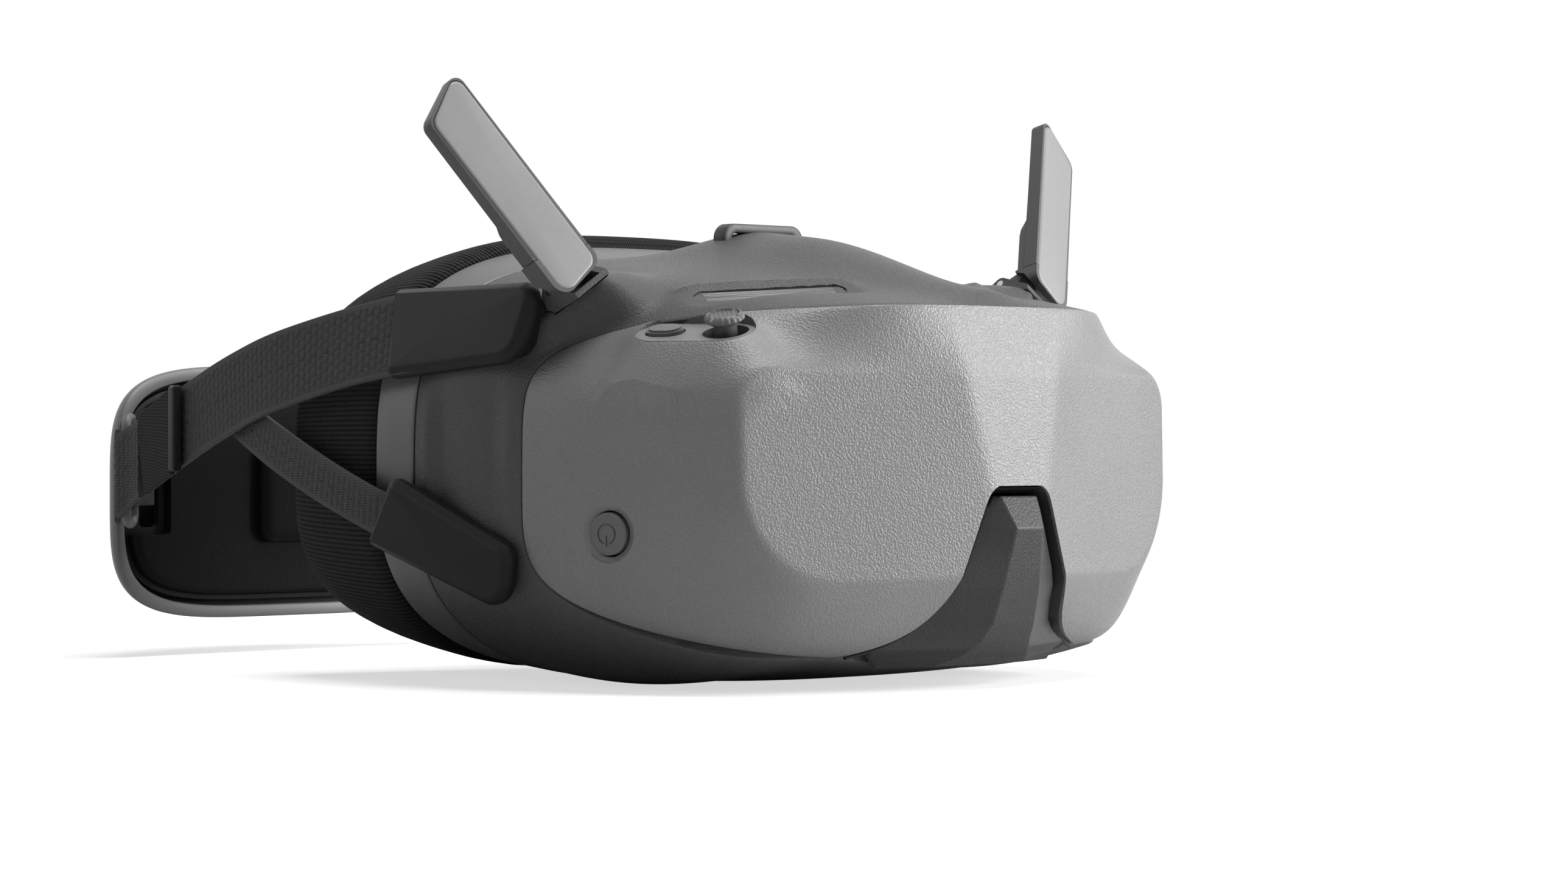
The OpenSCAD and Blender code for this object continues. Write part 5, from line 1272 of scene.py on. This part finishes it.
def effect(name, inputs, outputs):
    """An empty shader node group with named inputs and outputs, and the graph and ends to fill it."""
    tree = bpy.data.node_groups.new(name, "ShaderNodeTree")
    for label, kind, default in inputs:
        made = tree.interface.new_socket(label, in_out="INPUT", socket_type=kind)
        if default is not None:
            made.default_value = default
    for label, kind in outputs:
        tree.interface.new_socket(label, in_out="OUTPUT", socket_type=kind)
    graph = Graph(tree)
    return tree, graph, graph.add("NodeGroupInput"), graph.add("NodeGroupOutput")


def leather_grain():
    """Moulded leather grain: soft pebbles of two sizes, parted by fine valleys."""
    tree, g, start, end = effect("Leather grain",
                                 [("Place", "NodeSocketVector", None), ("Scale", "NodeSocketFloat", 700.0)],
                                 [("Height", "NodeSocketFloat"), ("Mask", "NodeSocketFloat")])
    bent = g.add("ShaderNodeTexNoise", Vector=start.outputs["Place"], Scale=520.0, Detail=2.0)
    shift = g.add("ShaderNodeVectorMath", {"operation": "SCALE"}, i0=bent.outputs["Color"])
    shift.inputs["Scale"].default_value = 0.0006
    place = g.add("ShaderNodeVectorMath", {"operation": "ADD"}, i0=start.outputs["Place"], i1=shift.outputs[0])
    pebble = g.add("ShaderNodeTexVoronoi", {"feature": "SMOOTH_F1"}, Vector=place.outputs[0],
                   Scale=start.outputs["Scale"],
                   Smoothness=0.6)
    finer = g.add("ShaderNodeTexNoise", Vector=start.outputs["Place"],
                  Scale=g.calc("MULTIPLY", start.outputs["Scale"], 1.7), Detail=3.0)
    top = g.ramp(pebble.outputs["Distance"], 0.75, 0.1)
    height = g.calc("ADD", top, g.calc("MULTIPLY", finer.outputs[0], 0.55))
    g.tree.links.new(height, end.inputs["Height"])
    g.tree.links.new(top, end.inputs["Mask"])
    return tree


def soft_stain():
    """Slow, faint variation of tone over a surface."""
    tree, g, start, end = effect("Soft variation", [("Place", "NodeSocketVector", None)],
                                 [("Mask", "NodeSocketFloat")])
    slow = g.add("ShaderNodeTexNoise", Vector=start.outputs["Place"], Scale=22.0, Detail=3.0)
    g.tree.links.new(g.ramp(slow.outputs[0], 0.3, 0.7), end.inputs["Mask"])
    return tree


def speckle():
    """Very fine even grain, as on blasted or painted metal."""
    tree, g, start, end = effect("Fine grain",
                                 [("Place", "NodeSocketVector", None), ("Scale", "NodeSocketFloat", 5200.0)],
                                 [("Height", "NodeSocketFloat"), ("Mask", "NodeSocketFloat")])
    fine = g.add("ShaderNodeTexNoise", Vector=start.outputs["Place"], Scale=start.outputs["Scale"], Detail=2.0,
                 Roughness=0.6)
    g.tree.links.new(fine.outputs[0], end.inputs["Height"])
    g.tree.links.new(g.ramp(fine.outputs[0], 0.35, 0.68), end.inputs["Mask"])
    return tree


def yarn():
    """Twisted yarn along both ways of a weave, read from the piece's own map in metres."""
    tree, g, start, end = effect("Yarn",
                                 [("Map", "NodeSocketVector", None), ("Pitch", "NodeSocketFloat", 0.0007)],
                                 [("Height", "NodeSocketFloat"), ("Mask", "NodeSocketFloat")])
    parts = g.add("ShaderNodeSeparateXYZ", Vector=start.outputs["Map"])
    along = g.calc("DIVIDE", parts.outputs[0], start.outputs["Pitch"])
    across = g.calc("DIVIDE", parts.outputs[1], start.outputs["Pitch"])
    twist = g.calc("SINE", g.calc("MULTIPLY", g.calc("ADD", across, g.calc("MULTIPLY", along, 0.35)), 6.2832))
    ply = g.calc("SINE", g.calc("MULTIPLY", g.calc("SUBTRACT", along, g.calc("MULTIPLY", across, 0.3)), 6.2832))
    fuzz = g.add("ShaderNodeTexNoise", Vector=start.outputs["Map"], Scale=5200.0, Detail=2.0)
    height = g.calc("ADD", g.calc("MULTIPLY_ADD", twist, 0.25, fuzz.outputs[0]), g.calc("MULTIPLY", ply, 0.2))
    g.tree.links.new(height, end.inputs["Height"])
    g.tree.links.new(g.ramp(height, 0.1, 0.95), end.inputs["Mask"])
    return tree


def rib_knit():
    """Knitted ribs with slanted stitches, read from the piece's own map in metres."""
    tree, g, start, end = effect("Rib knit",
                                 [("Map", "NodeSocketVector", None), ("Pitch", "NodeSocketFloat", 0.0011)],
                                 [("Height", "NodeSocketFloat"), ("Mask", "NodeSocketFloat")])
    parts = g.add("ShaderNodeSeparateXYZ", Vector=start.outputs["Map"])
    u = g.calc("DIVIDE", parts.outputs[0], start.outputs["Pitch"])
    v = g.calc("DIVIDE", parts.outputs[1], start.outputs["Pitch"])
    rib = g.calc("ABSOLUTE", g.calc("SINE", g.calc("MULTIPLY", u, 3.1416)))
    slant = g.calc("PINGPONG", u, 0.5)
    stitch = g.calc("SINE", g.calc("MULTIPLY", g.calc("ADD", g.calc("MULTIPLY", v, 1.4), slant), 6.2832))
    fuzz = g.add("ShaderNodeTexNoise", Vector=start.outputs["Map"], Scale=4200.0, Detail=2.0)
    height = g.calc("ADD", g.calc("MULTIPLY_ADD", stitch, 0.22, rib), g.calc("MULTIPLY", fuzz.outputs[0], 0.3))
    g.tree.links.new(height, end.inputs["Height"])
    g.tree.links.new(g.ramp(height, 0.25, 1.2), end.inputs["Mask"])
    return tree


EFFECTS = {"Leather grain": leather_grain, "Soft variation": soft_stain, "Fine grain": speckle, "Yarn": yarn,
           "Rib knit": rib_knit}


def effect_node(graph, name, **inputs):
    """The named effect placed in a material, built the first time that it is asked for."""
    tree = bpy.data.node_groups.get(name) or EFFECTS[name]()
    made = graph.add("ShaderNodeGroup", {"node_tree": tree})
    for key, value in inputs.items():
        if isinstance(value, bpy.types.NodeSocket):
            graph.tree.links.new(value, made.inputs[key])
        else:
            made.inputs[key].default_value = value
    return made


def surface_finish(name, base, effect_name, depth, rough=(0.45, 0.6), tone=0.75, strength=1.0, use_map=False,
                   **extra):
    """A material: a base colour darkened in the effect's valleys, its roughness and its height as bump.

    depth is the bump's depth in millimetres and tone the darkening.
    extra names sockets of the shader or the effect.
    """
    material = bpy.data.materials.new(name)
    material.use_nodes = True
    material.node_tree.nodes.clear()
    g = Graph(material.node_tree)
    shader = g.add("ShaderNodeBsdfPrincipled")
    out = g.add("ShaderNodeOutputMaterial", Surface=shader.outputs[0])
    place = g.add("ShaderNodeTexCoord").outputs["UV" if use_map else "Object"]
    effect_inputs = {key: extra.pop(key) for key in ("Scale", "Pitch") if key in extra}
    made = effect_node(g, effect_name, **{"Map" if use_map else "Place": place}, **effect_inputs)
    stain = effect_node(g, "Soft variation", Place=g.add("ShaderNodeTexCoord").outputs["Object"])
    base = tuple(base)
    dark = g.add("ShaderNodeMix", {"data_type": "RGBA"}, Factor=made.outputs["Mask"])
    dark.inputs["A"].default_value = (*[c * tone for c in base], 1)
    dark.inputs["B"].default_value = (*base, 1)
    tint = g.add("ShaderNodeMix", {"data_type": "RGBA", "blend_type": "MULTIPLY"})
    g.tree.links.new(g.ramp(stain.outputs["Mask"], 0, 1, 0.0, 0.5), tint.inputs["Factor"])
    g.tree.links.new(dark.outputs["Result"], tint.inputs["A"])
    tint.inputs["B"].default_value = (0.86, 0.86, 0.86, 1)
    g.tree.links.new(tint.outputs["Result"], shader.inputs["Base Color"])
    g.tree.links.new(g.ramp(made.outputs["Mask"], 0, 1, rough[1], rough[0]), shader.inputs["Roughness"])
    bump = g.add("ShaderNodeBump", Height=made.outputs["Height"], Strength=strength, Distance=depth * MM)
    g.tree.links.new(bump.outputs[0], shader.inputs["Normal"])
    for key, value in extra.items():
        shader.inputs[key.replace("_", " ")].default_value = value
    out.location = (300, 0)
    return material


def selvedge_finish(name, base, edge, width):
    """Webbing whose plain selvedges are lighter than its weave, by the map's v against the strap's width."""
    material = surface_finish(name, base, "Yarn", 0.10, (0.62, 0.8), 0.55, use_map=True,
                              Specular_IOR_Level=0.35)
    g = Graph(material.node_tree)
    shader = next(n for n in g.tree.nodes if n.type == "BSDF_PRINCIPLED")
    before = shader.inputs["Base Color"].links[0].from_socket
    parts = g.add("ShaderNodeSeparateXYZ", Vector=g.add("ShaderNodeTexCoord").outputs["UV"])
    off = g.calc("ABSOLUTE", g.calc("SUBTRACT", parts.outputs[1], width / 2 * MM))
    rim = g.ramp(off, (width / 2 - 1.7) * MM, (width / 2 - 1.2) * MM)
    blend = g.add("ShaderNodeMix", {"data_type": "RGBA"}, Factor=rim)
    g.tree.links.new(before, blend.inputs["A"])
    blend.inputs["B"].default_value = (*tuple(edge), 1)
    g.tree.links.new(blend.outputs["Result"], shader.inputs["Base Color"])
    return material


def finishes():
    """All finishes by name, made once."""
    if FINISH:
        return FINISH
    c = bpy.context.scene.goggle_finish
    s = soft()
    FINISH.update({
        "cover": surface_finish("Grained cover", c.cover, "Leather grain", 0.07, (0.34, 0.46), 0.88,
                                Scale=1750.0),
        "cover_smooth": surface_finish("Smooth cover pad", c.cover, "Fine grain", 0.012, (0.42, 0.5), 0.95),
        "housing": surface_finish("Grained housing", c.housing, "Leather grain", 0.06, (0.38, 0.5), 0.85,
                                  Scale=1850.0, Specular_IOR_Level=0.16),
        "satin": surface_finish("Satin plastic", c.satin, "Fine grain", 0.012, (0.4, 0.5), 0.92),
        "bezel": surface_finish("Smooth bezel", c.satin, "Fine grain", 0.012, (0.38, 0.46), 0.94),
        "loop": surface_finish("Top loop", (0.045, 0.045, 0.046), "Fine grain", 0.01, (0.36, 0.46), 0.9,
                               Specular_IOR_Level=0.3),
        "wedge": surface_finish("Grained wedge", (0.048, 0.048, 0.049), "Leather grain", 0.05, (0.3, 0.42),
                                0.85, Scale=1900.0, Specular_IOR_Level=0.2),
        "trim": surface_finish("Dark trim", c.plate, "Fine grain", 0.01, (0.32, 0.42), 0.9,
                               Specular_IOR_Level=0.3),
        "plate": surface_finish("Dark satin plastic", c.plate, "Fine grain", 0.008, (0.34, 0.44), 0.9,
                                Specular_IOR_Level=0.12),
        # Real black on the inner frames; on the bosses under the strap plates this black is painted shade.
        "black": surface_finish("Matt black plastic", c.black, "Fine grain", 0.02, (0.6, 0.7), 0.9,
                                Specular_IOR_Level=0.15),
        "antenna": surface_finish("Antenna face", c.antenna, "Fine grain", 0.02, (0.42, 0.52), 0.85,
                                  Metallic=0.15),
        "antenna_edge": surface_finish("Antenna rear", c.antenna_edge, "Fine grain", 0.016, (0.42, 0.52), 0.88),
        "foam": surface_finish("Knitted foam cover", c.foam, "Rib knit", 0.32, (0.75, 0.9), 0.4, use_map=True,
                               Specular_IOR_Level=0.1,
                               Pitch=s.knit_pitch * MM),
        "webbing": selvedge_finish("Basket webbing", c.webbing, c.selvedge, s.strap_w),
        "webbing_plain": surface_finish("Plain webbing", c.webbing, "Yarn", 0.08, (0.65, 0.8), 0.6,
                                        use_map=True, Specular_IOR_Level=0.2),
        "patch": surface_finish("Hook patch", c.webbing, "Yarn", 0.12, (0.75, 0.9), 0.45, use_map=True,
                                Specular_IOR_Level=0.1, Pitch=0.0009),
        "pad": surface_finish("Soft pad", c.pad, "Leather grain", 0.03, (0.38, 0.5), 0.85, Scale=2200.0,
                              Specular_IOR_Level=0.06),
        "pack": surface_finish("Pack plastic", c.pack, "Fine grain", 0.012, (0.36, 0.46), 0.94),
        "steel": surface_finish("Brushed steel", (0.55, 0.55, 0.56), "Fine grain", 0.01, (0.25, 0.38), 0.85,
                                Metallic=1.0),
        "board": surface_finish("Circuit board", (0.02, 0.09, 0.045), "Fine grain", 0.01, (0.35, 0.5), 0.8),
        "cell": surface_finish("Battery wrap", (0.03, 0.06, 0.15), "Fine grain", 0.006, (0.25, 0.35), 0.92),
        "mesh": surface_finish("Vent mesh", (0.09, 0.09, 0.092), "Fine grain", 0.01, (0.3, 0.4), 0.85,
                               Metallic=0.6),
        "glass": surface_finish("Lens", (0.9, 0.93, 0.95), "Fine grain", 0.0005, (0.02, 0.04), 0.98),
        "screen": surface_finish("Display glass", (0.01, 0.01, 0.014), "Fine grain", 0.0005, (0.06, 0.1), 0.95),
    })
    FINISH["glass"].node_tree.nodes["Principled BSDF"].inputs["Transmission Weight"].default_value = 0.9
    return FINISH


FINISH = {}
CAD_FINISH = {
    "black": ["lens_frame", "viewing_tunnel", "display_carriage", "focus_slider", "fan_frame", "fan_impeller"],
    "glass": ["main_lens"],
    "screen": ["display_panel"],
    "board": ["mainboard", "control_board", "battery_board"],
    "steel": ["usb_socket", "audio_jack", "antenna_pin_left", "antenna_pin_right", "plate_screws",
              "stick_shaft"],
    "satin": ["power_button", "back_button"],
    "plate": ["stick_gimbal"],
    "housing": ["antenna_seat_left", "antenna_seat_right"],
    "antenna_edge": ["antenna_base_left", "antenna_base_right"],
    "cell": ["battery_cells"],
}


def dress_cad(finish):
    """Finishes of the CAD nodes whose shape is right as it is."""
    for key, names in CAD_FINISH.items():
        for name in names:
            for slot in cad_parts[name].material_slots:
                slot.material = finish[key]


# ---------- stage, camera and points of the picture ----------
PHOTO_W, PHOTO_H = 1568, 882
CAMERA_PLACE = (-0.8362, -0.8068, 0.0649)
CAMERA_AZIMUTH, CAMERA_PITCH = 46.0, -0.11
LENS, SENSOR = 100.5, 36.0


def area_light(name, place, aim, size, power):
    """A square soft light at a place, turned to a point."""
    data = bpy.data.lights.new(name, "AREA")
    data.size = size
    data.energy = power
    lamp = bpy.data.objects.new(name, data)
    lamp.location = place
    lamp.rotation_euler = (Vector(aim) - Vector(place)).to_track_quat("-Z", "Y").to_euler()
    bpy.context.scene.collection.objects.link(lamp)


def plain_ray(g):
    """1 for rays from the camera and for those that metal and glass send on."""
    ray = g.add("ShaderNodeLightPath")
    seen = g.calc("MAXIMUM", ray.outputs["Is Camera Ray"], ray.outputs["Is Glossy Ray"])
    return ray.outputs["Is Camera Ray"], g.calc("MAXIMUM", seen, ray.outputs["Is Transmission Ray"])


def make_stage():
    """Camera, lights, white background and a plain pale floor that keeps a soft shadow."""
    scene = bpy.context.scene
    scene.view_settings.view_transform = "Standard"
    data = bpy.data.cameras.new("Camera")
    data.lens = LENS
    data.sensor_width = SENSOR
    camera = bpy.data.objects.new("Camera", data)
    camera.location = CAMERA_PLACE
    camera.rotation_euler = (math.radians(90 + CAMERA_PITCH), 0, -math.radians(CAMERA_AZIMUTH))
    scene.collection.objects.link(camera)
    scene.camera = camera
    area_light("Key", (1.05, -1.05, 0.42), (0, 0, 0.05), 0.8, 29)
    area_light("Top", (0.1, -0.2, 1.4), (0, 0, 0.05), 0.9, 18)
    area_light("Left", (-1.35, -0.55, 0.75), (0, 0.1, 0.05), 0.7, 0.3)
    area_light("Back", (-1.0, 1.0, 0.6), (0, 0.1, 0.05), 0.6, 1.4)

    world = bpy.data.worlds.new("Studio")
    world.use_nodes = True
    world.node_tree.nodes.clear()
    g = Graph(world.node_tree)
    _, plain = plain_ray(g)
    room = g.add("ShaderNodeBackground", Color=(1, 1, 1, 1), Strength=0.03)
    white = g.add("ShaderNodeBackground", Color=(1, 1, 1, 1), Strength=1.0)
    both = g.add("ShaderNodeMixShader", i0=plain, i1=room.outputs[0], i2=white.outputs[0])
    g.add("ShaderNodeOutputWorld", Surface=both.outputs[0])
    scene.world = world

    mesh = bpy.data.meshes.new("floor")
    half = 6.0
    mesh.from_pydata([(-half, -half, 0), (half, -half, 0), (half, half, 0), (-half, half, 0)], [],
                     [(0, 1, 2, 3)])
    floor = bpy.data.objects.new("floor", mesh)
    scene.collection.objects.link(floor)
    material = bpy.data.materials.new("Pale floor")
    material.use_nodes = True
    material.node_tree.nodes.clear()
    g = Graph(material.node_tree)
    camera_ray, _ = plain_ray(g)
    matt = g.add("ShaderNodeBsdfDiffuse", Color=(0.82, 0.82, 0.82, 1))
    glow = g.add("ShaderNodeEmission", Color=(1, 1, 1, 1), Strength=0.62)
    both = g.add("ShaderNodeAddShader", i0=matt.outputs[0], i1=glow.outputs[0])
    # Beyond the shadow the floor runs into the white background
    away = g.add("ShaderNodeVectorMath", {"operation": "LENGTH"},
                 i0=g.add("ShaderNodeTexCoord").outputs["Object"])
    white = g.add("ShaderNodeEmission", Color=(1, 1, 1, 1), Strength=1.0)
    both = g.add("ShaderNodeMixShader", i0=g.ramp(away.outputs["Value"], 0.3, 0.62), i1=both.outputs[0],
                 i2=white.outputs[0])
    shown = g.add("ShaderNodeMixShader", i0=camera_ray, i1=matt.outputs[0], i2=both.outputs[0])
    g.add("ShaderNodeOutputMaterial", Surface=shown.outputs[0])
    mesh.materials.append(material)
    floor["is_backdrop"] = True


def camera_turn():
    """Rotation matrix of the camera."""
    return np.array(bpy.context.scene.camera.rotation_euler.to_matrix())


def on_picture(points):
    """Where points in metres show, in the photo's reduced frame."""
    camera = bpy.context.scene.camera
    local = (points - np.array(camera.location)) @ camera_turn()
    full = PHOTO_W * LENS / SENSOR
    x = PHOTO_W / 2 + full * local[:, 0] / -local[:, 2] - camera.data.shift_x * PHOTO_W
    y = PHOTO_H / 2 - full * local[:, 1] / -local[:, 2] + camera.data.shift_y * PHOTO_W
    return np.column_stack([x, y])


def shown_points(names):
    """Picture positions of all vertices of the named pieces."""
    parts = []
    for name in names:
        piece = bpy.data.objects.get(name)
        ready = piece.evaluated_get(bpy.context.evaluated_depsgraph_get()).to_mesh()
        flat = np.zeros(len(ready.vertices) * 3, np.float32)
        ready.vertices.foreach_get("co", flat)
        parts.append(on_picture(flat.reshape(-1, 3).astype(float)))
    return np.vstack(parts)


def measure_points():
    """Works out where each named thing shows in the picture, in x and y."""
    shown = [o.name for o in bpy.data.objects
             if o.type == "MESH" and not o.hide_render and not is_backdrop(o)]
    everything = shown_points(shown)
    low, high = everything.min(0), everything.max(0)
    middle = {"power_button": "power_button", "stick_cap": "joystick_cap", "back_button": "back_button",
              "head_loop": "head_strap_loop",
              "upper_plate": "upper_strap_plate_right", "lower_plate": "lower_strap_plate_right"}
    found = {"object_left": (low[0], None), "object_right": (high[0], None), "object_top": (None, low[1]),
             "object_bottom": (None, high[1])}
    for name, side in (("antenna_top_right", "right"), ("antenna_top_left", "left")):
        p = shown_points(["antenna_face_" + side, "antenna_rear_" + side])
        found[name] = tuple(p[p[:, 1].argmin()])
    for name, piece in middle.items():
        p = shown_points([piece])
        found[name] = tuple((p.min(0) + p.max(0)) / 2)
        if name in ("stick_cap", "back_button", "head_loop"):
            # The foot of these is hidden, so their upper edge is taken
            found[name] = (found[name][0], p[:, 1].min())
        else:
            # The inner side of these is hidden, so their left edge is taken
            found[name] = (p[:, 0].min(), found[name][1])
    p = shown_points(["pack_back"])
    found["pack_left"] = (p[:, 0].min(), None)


# ---------- operators, panel and run ----------
class GOGGLES_OT_stage(bpy.types.Operator):
    """Sets the camera, the lights, the background and the floor"""
    bl_idname = "goggles.stage"
    bl_label = "Stage"

    def execute(self, context):
        make_stage()
        return {"FINISHED"}


class GOGGLES_OT_cover(bpy.types.Operator):
    """Builds the front cover, the pad under the controls and the joystick's cap"""
    bl_idname = "goggles.cover"
    bl_label = "Front cover"

    def execute(self, context):
        make_cover(finishes())
        make_stick(finishes())
        return {"FINISHED"}


class GOGGLES_OT_nose(bpy.types.Operator):
    """Builds the notch's trim and the nose wedge"""
    bl_idname = "goggles.nose"
    bl_label = "Nose wedge"

    def execute(self, context):
        make_nose(finishes())
        return {"FINISHED"}


class GOGGLES_OT_housing(bpy.types.Operator):
    """Builds the housing with its vents and saddles"""
    bl_idname = "goggles.housing"
    bl_label = "Housing"

    def execute(self, context):
        make_housing(finishes())
        return {"FINISHED"}


class GOGGLES_OT_bezel(bpy.types.Operator):
    """Builds the bezel and the loop for a strap over the head"""
    bl_idname = "goggles.bezel"
    bl_label = "Bezel and top loop"

    def execute(self, context):
        make_bezel(finishes())
        make_loop(finishes())
        return {"FINISHED"}


class GOGGLES_OT_foam(bpy.types.Operator):
    """Builds the face foam by cloth simulation"""
    bl_idname = "goggles.foam"
    bl_label = "Face foam"

    def execute(self, context):
        make_foam(finishes())
        return {"FINISHED"}


class GOGGLES_OT_plates(bpy.types.Operator):
    """Builds the four strap plates"""
    bl_idname = "goggles.plates"
    bl_label = "Strap plates"

    def execute(self, context):
        make_plates(finishes())
        return {"FINISHED"}


class GOGGLES_OT_antennas(bpy.types.Operator):
    """Builds both antennas"""
    bl_idname = "goggles.antennas"
    bl_label = "Antennas"

    def execute(self, context):
        make_antennas(finishes())
        return {"FINISHED"}


class GOGGLES_OT_straps(bpy.types.Operator):
    """Builds the woven straps and their end patches"""
    bl_idname = "goggles.straps"
    bl_label = "Straps"

    def execute(self, context):
        make_straps(finishes())
        make_strap_ends(finishes())
        return {"FINISHED"}


class GOGGLES_OT_rings(bpy.types.Operator):
    """Builds the pack's rings and the webbing that holds them"""
    bl_idname = "goggles.rings"
    bl_label = "Rings and webbing"

    def execute(self, context):
        make_buckles(finishes())
        make_pack_loops(finishes())
        return {"FINISHED"}


class GOGGLES_OT_pack(bpy.types.Operator):
    """Builds the battery pack"""
    bl_idname = "goggles.pack"
    bl_label = "Battery pack"

    def execute(self, context):
        make_pack(finishes())
        return {"FINISHED"}


class GOGGLES_OT_inner(bpy.types.Operator):
    """Gives the CAD nodes that stay in sight their finishes"""
    bl_idname = "goggles.inner"
    bl_label = "Buttons and inner parts"

    def execute(self, context):
        dress_cad(finishes())
        return {"FINISHED"}


class GOGGLES_PT_panel(bpy.types.Panel):
    """Lists the sizes, the colours and the steps"""
    bl_idname = "GOGGLES_PT_panel"
    bl_label = "Goggles"
    bl_space_type = "VIEW_3D"
    bl_region_type = "UI"
    bl_category = "Goggles"

    def draw(self, context):
        for group in (context.scene.goggle_shell, context.scene.goggle_soft, context.scene.goggle_finish):
            box = self.layout.box()
            for key, item in group.bl_rna.properties.items():
                if item.type == "FLOAT":
                    box.prop(group, key)
        for step in STEPS:
            self.layout.operator(step.bl_idname)


GROUPS = (ShellSizes, SoftSizes, Finishes)
STEPS = (GOGGLES_OT_stage, GOGGLES_OT_cover, GOGGLES_OT_nose, GOGGLES_OT_housing, GOGGLES_OT_bezel,
         GOGGLES_OT_foam, GOGGLES_OT_plates, GOGGLES_OT_antennas, GOGGLES_OT_straps, GOGGLES_OT_rings,
         GOGGLES_OT_pack, GOGGLES_OT_inner)


def register():
    """Registers the classes and hangs the sizes and colours on the scene."""
    for item in (*GROUPS, *STEPS, GOGGLES_PT_panel):
        bpy.utils.register_class(item)
    bpy.types.Scene.goggle_shell = bpy.props.PointerProperty(type=ShellSizes)
    bpy.types.Scene.goggle_soft = bpy.props.PointerProperty(type=SoftSizes)
    bpy.types.Scene.goggle_finish = bpy.props.PointerProperty(type=Finishes)


def unregister():
    """Takes the classes and the scene's sizes away again."""
    del bpy.types.Scene.goggle_shell
    del bpy.types.Scene.goggle_soft
    del bpy.types.Scene.goggle_finish
    for item in reversed((*GROUPS, *STEPS, GOGGLES_PT_panel)):
        bpy.utils.unregister_class(item)


def main():
    """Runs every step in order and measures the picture's points."""
    register()
    for step in STEPS:
        group, name = step.bl_idname.split(".")
        getattr(getattr(bpy.ops, group), name)()
    bpy.context.view_layer.update()
    measure_points()


if __name__ == "__main__":
    main()
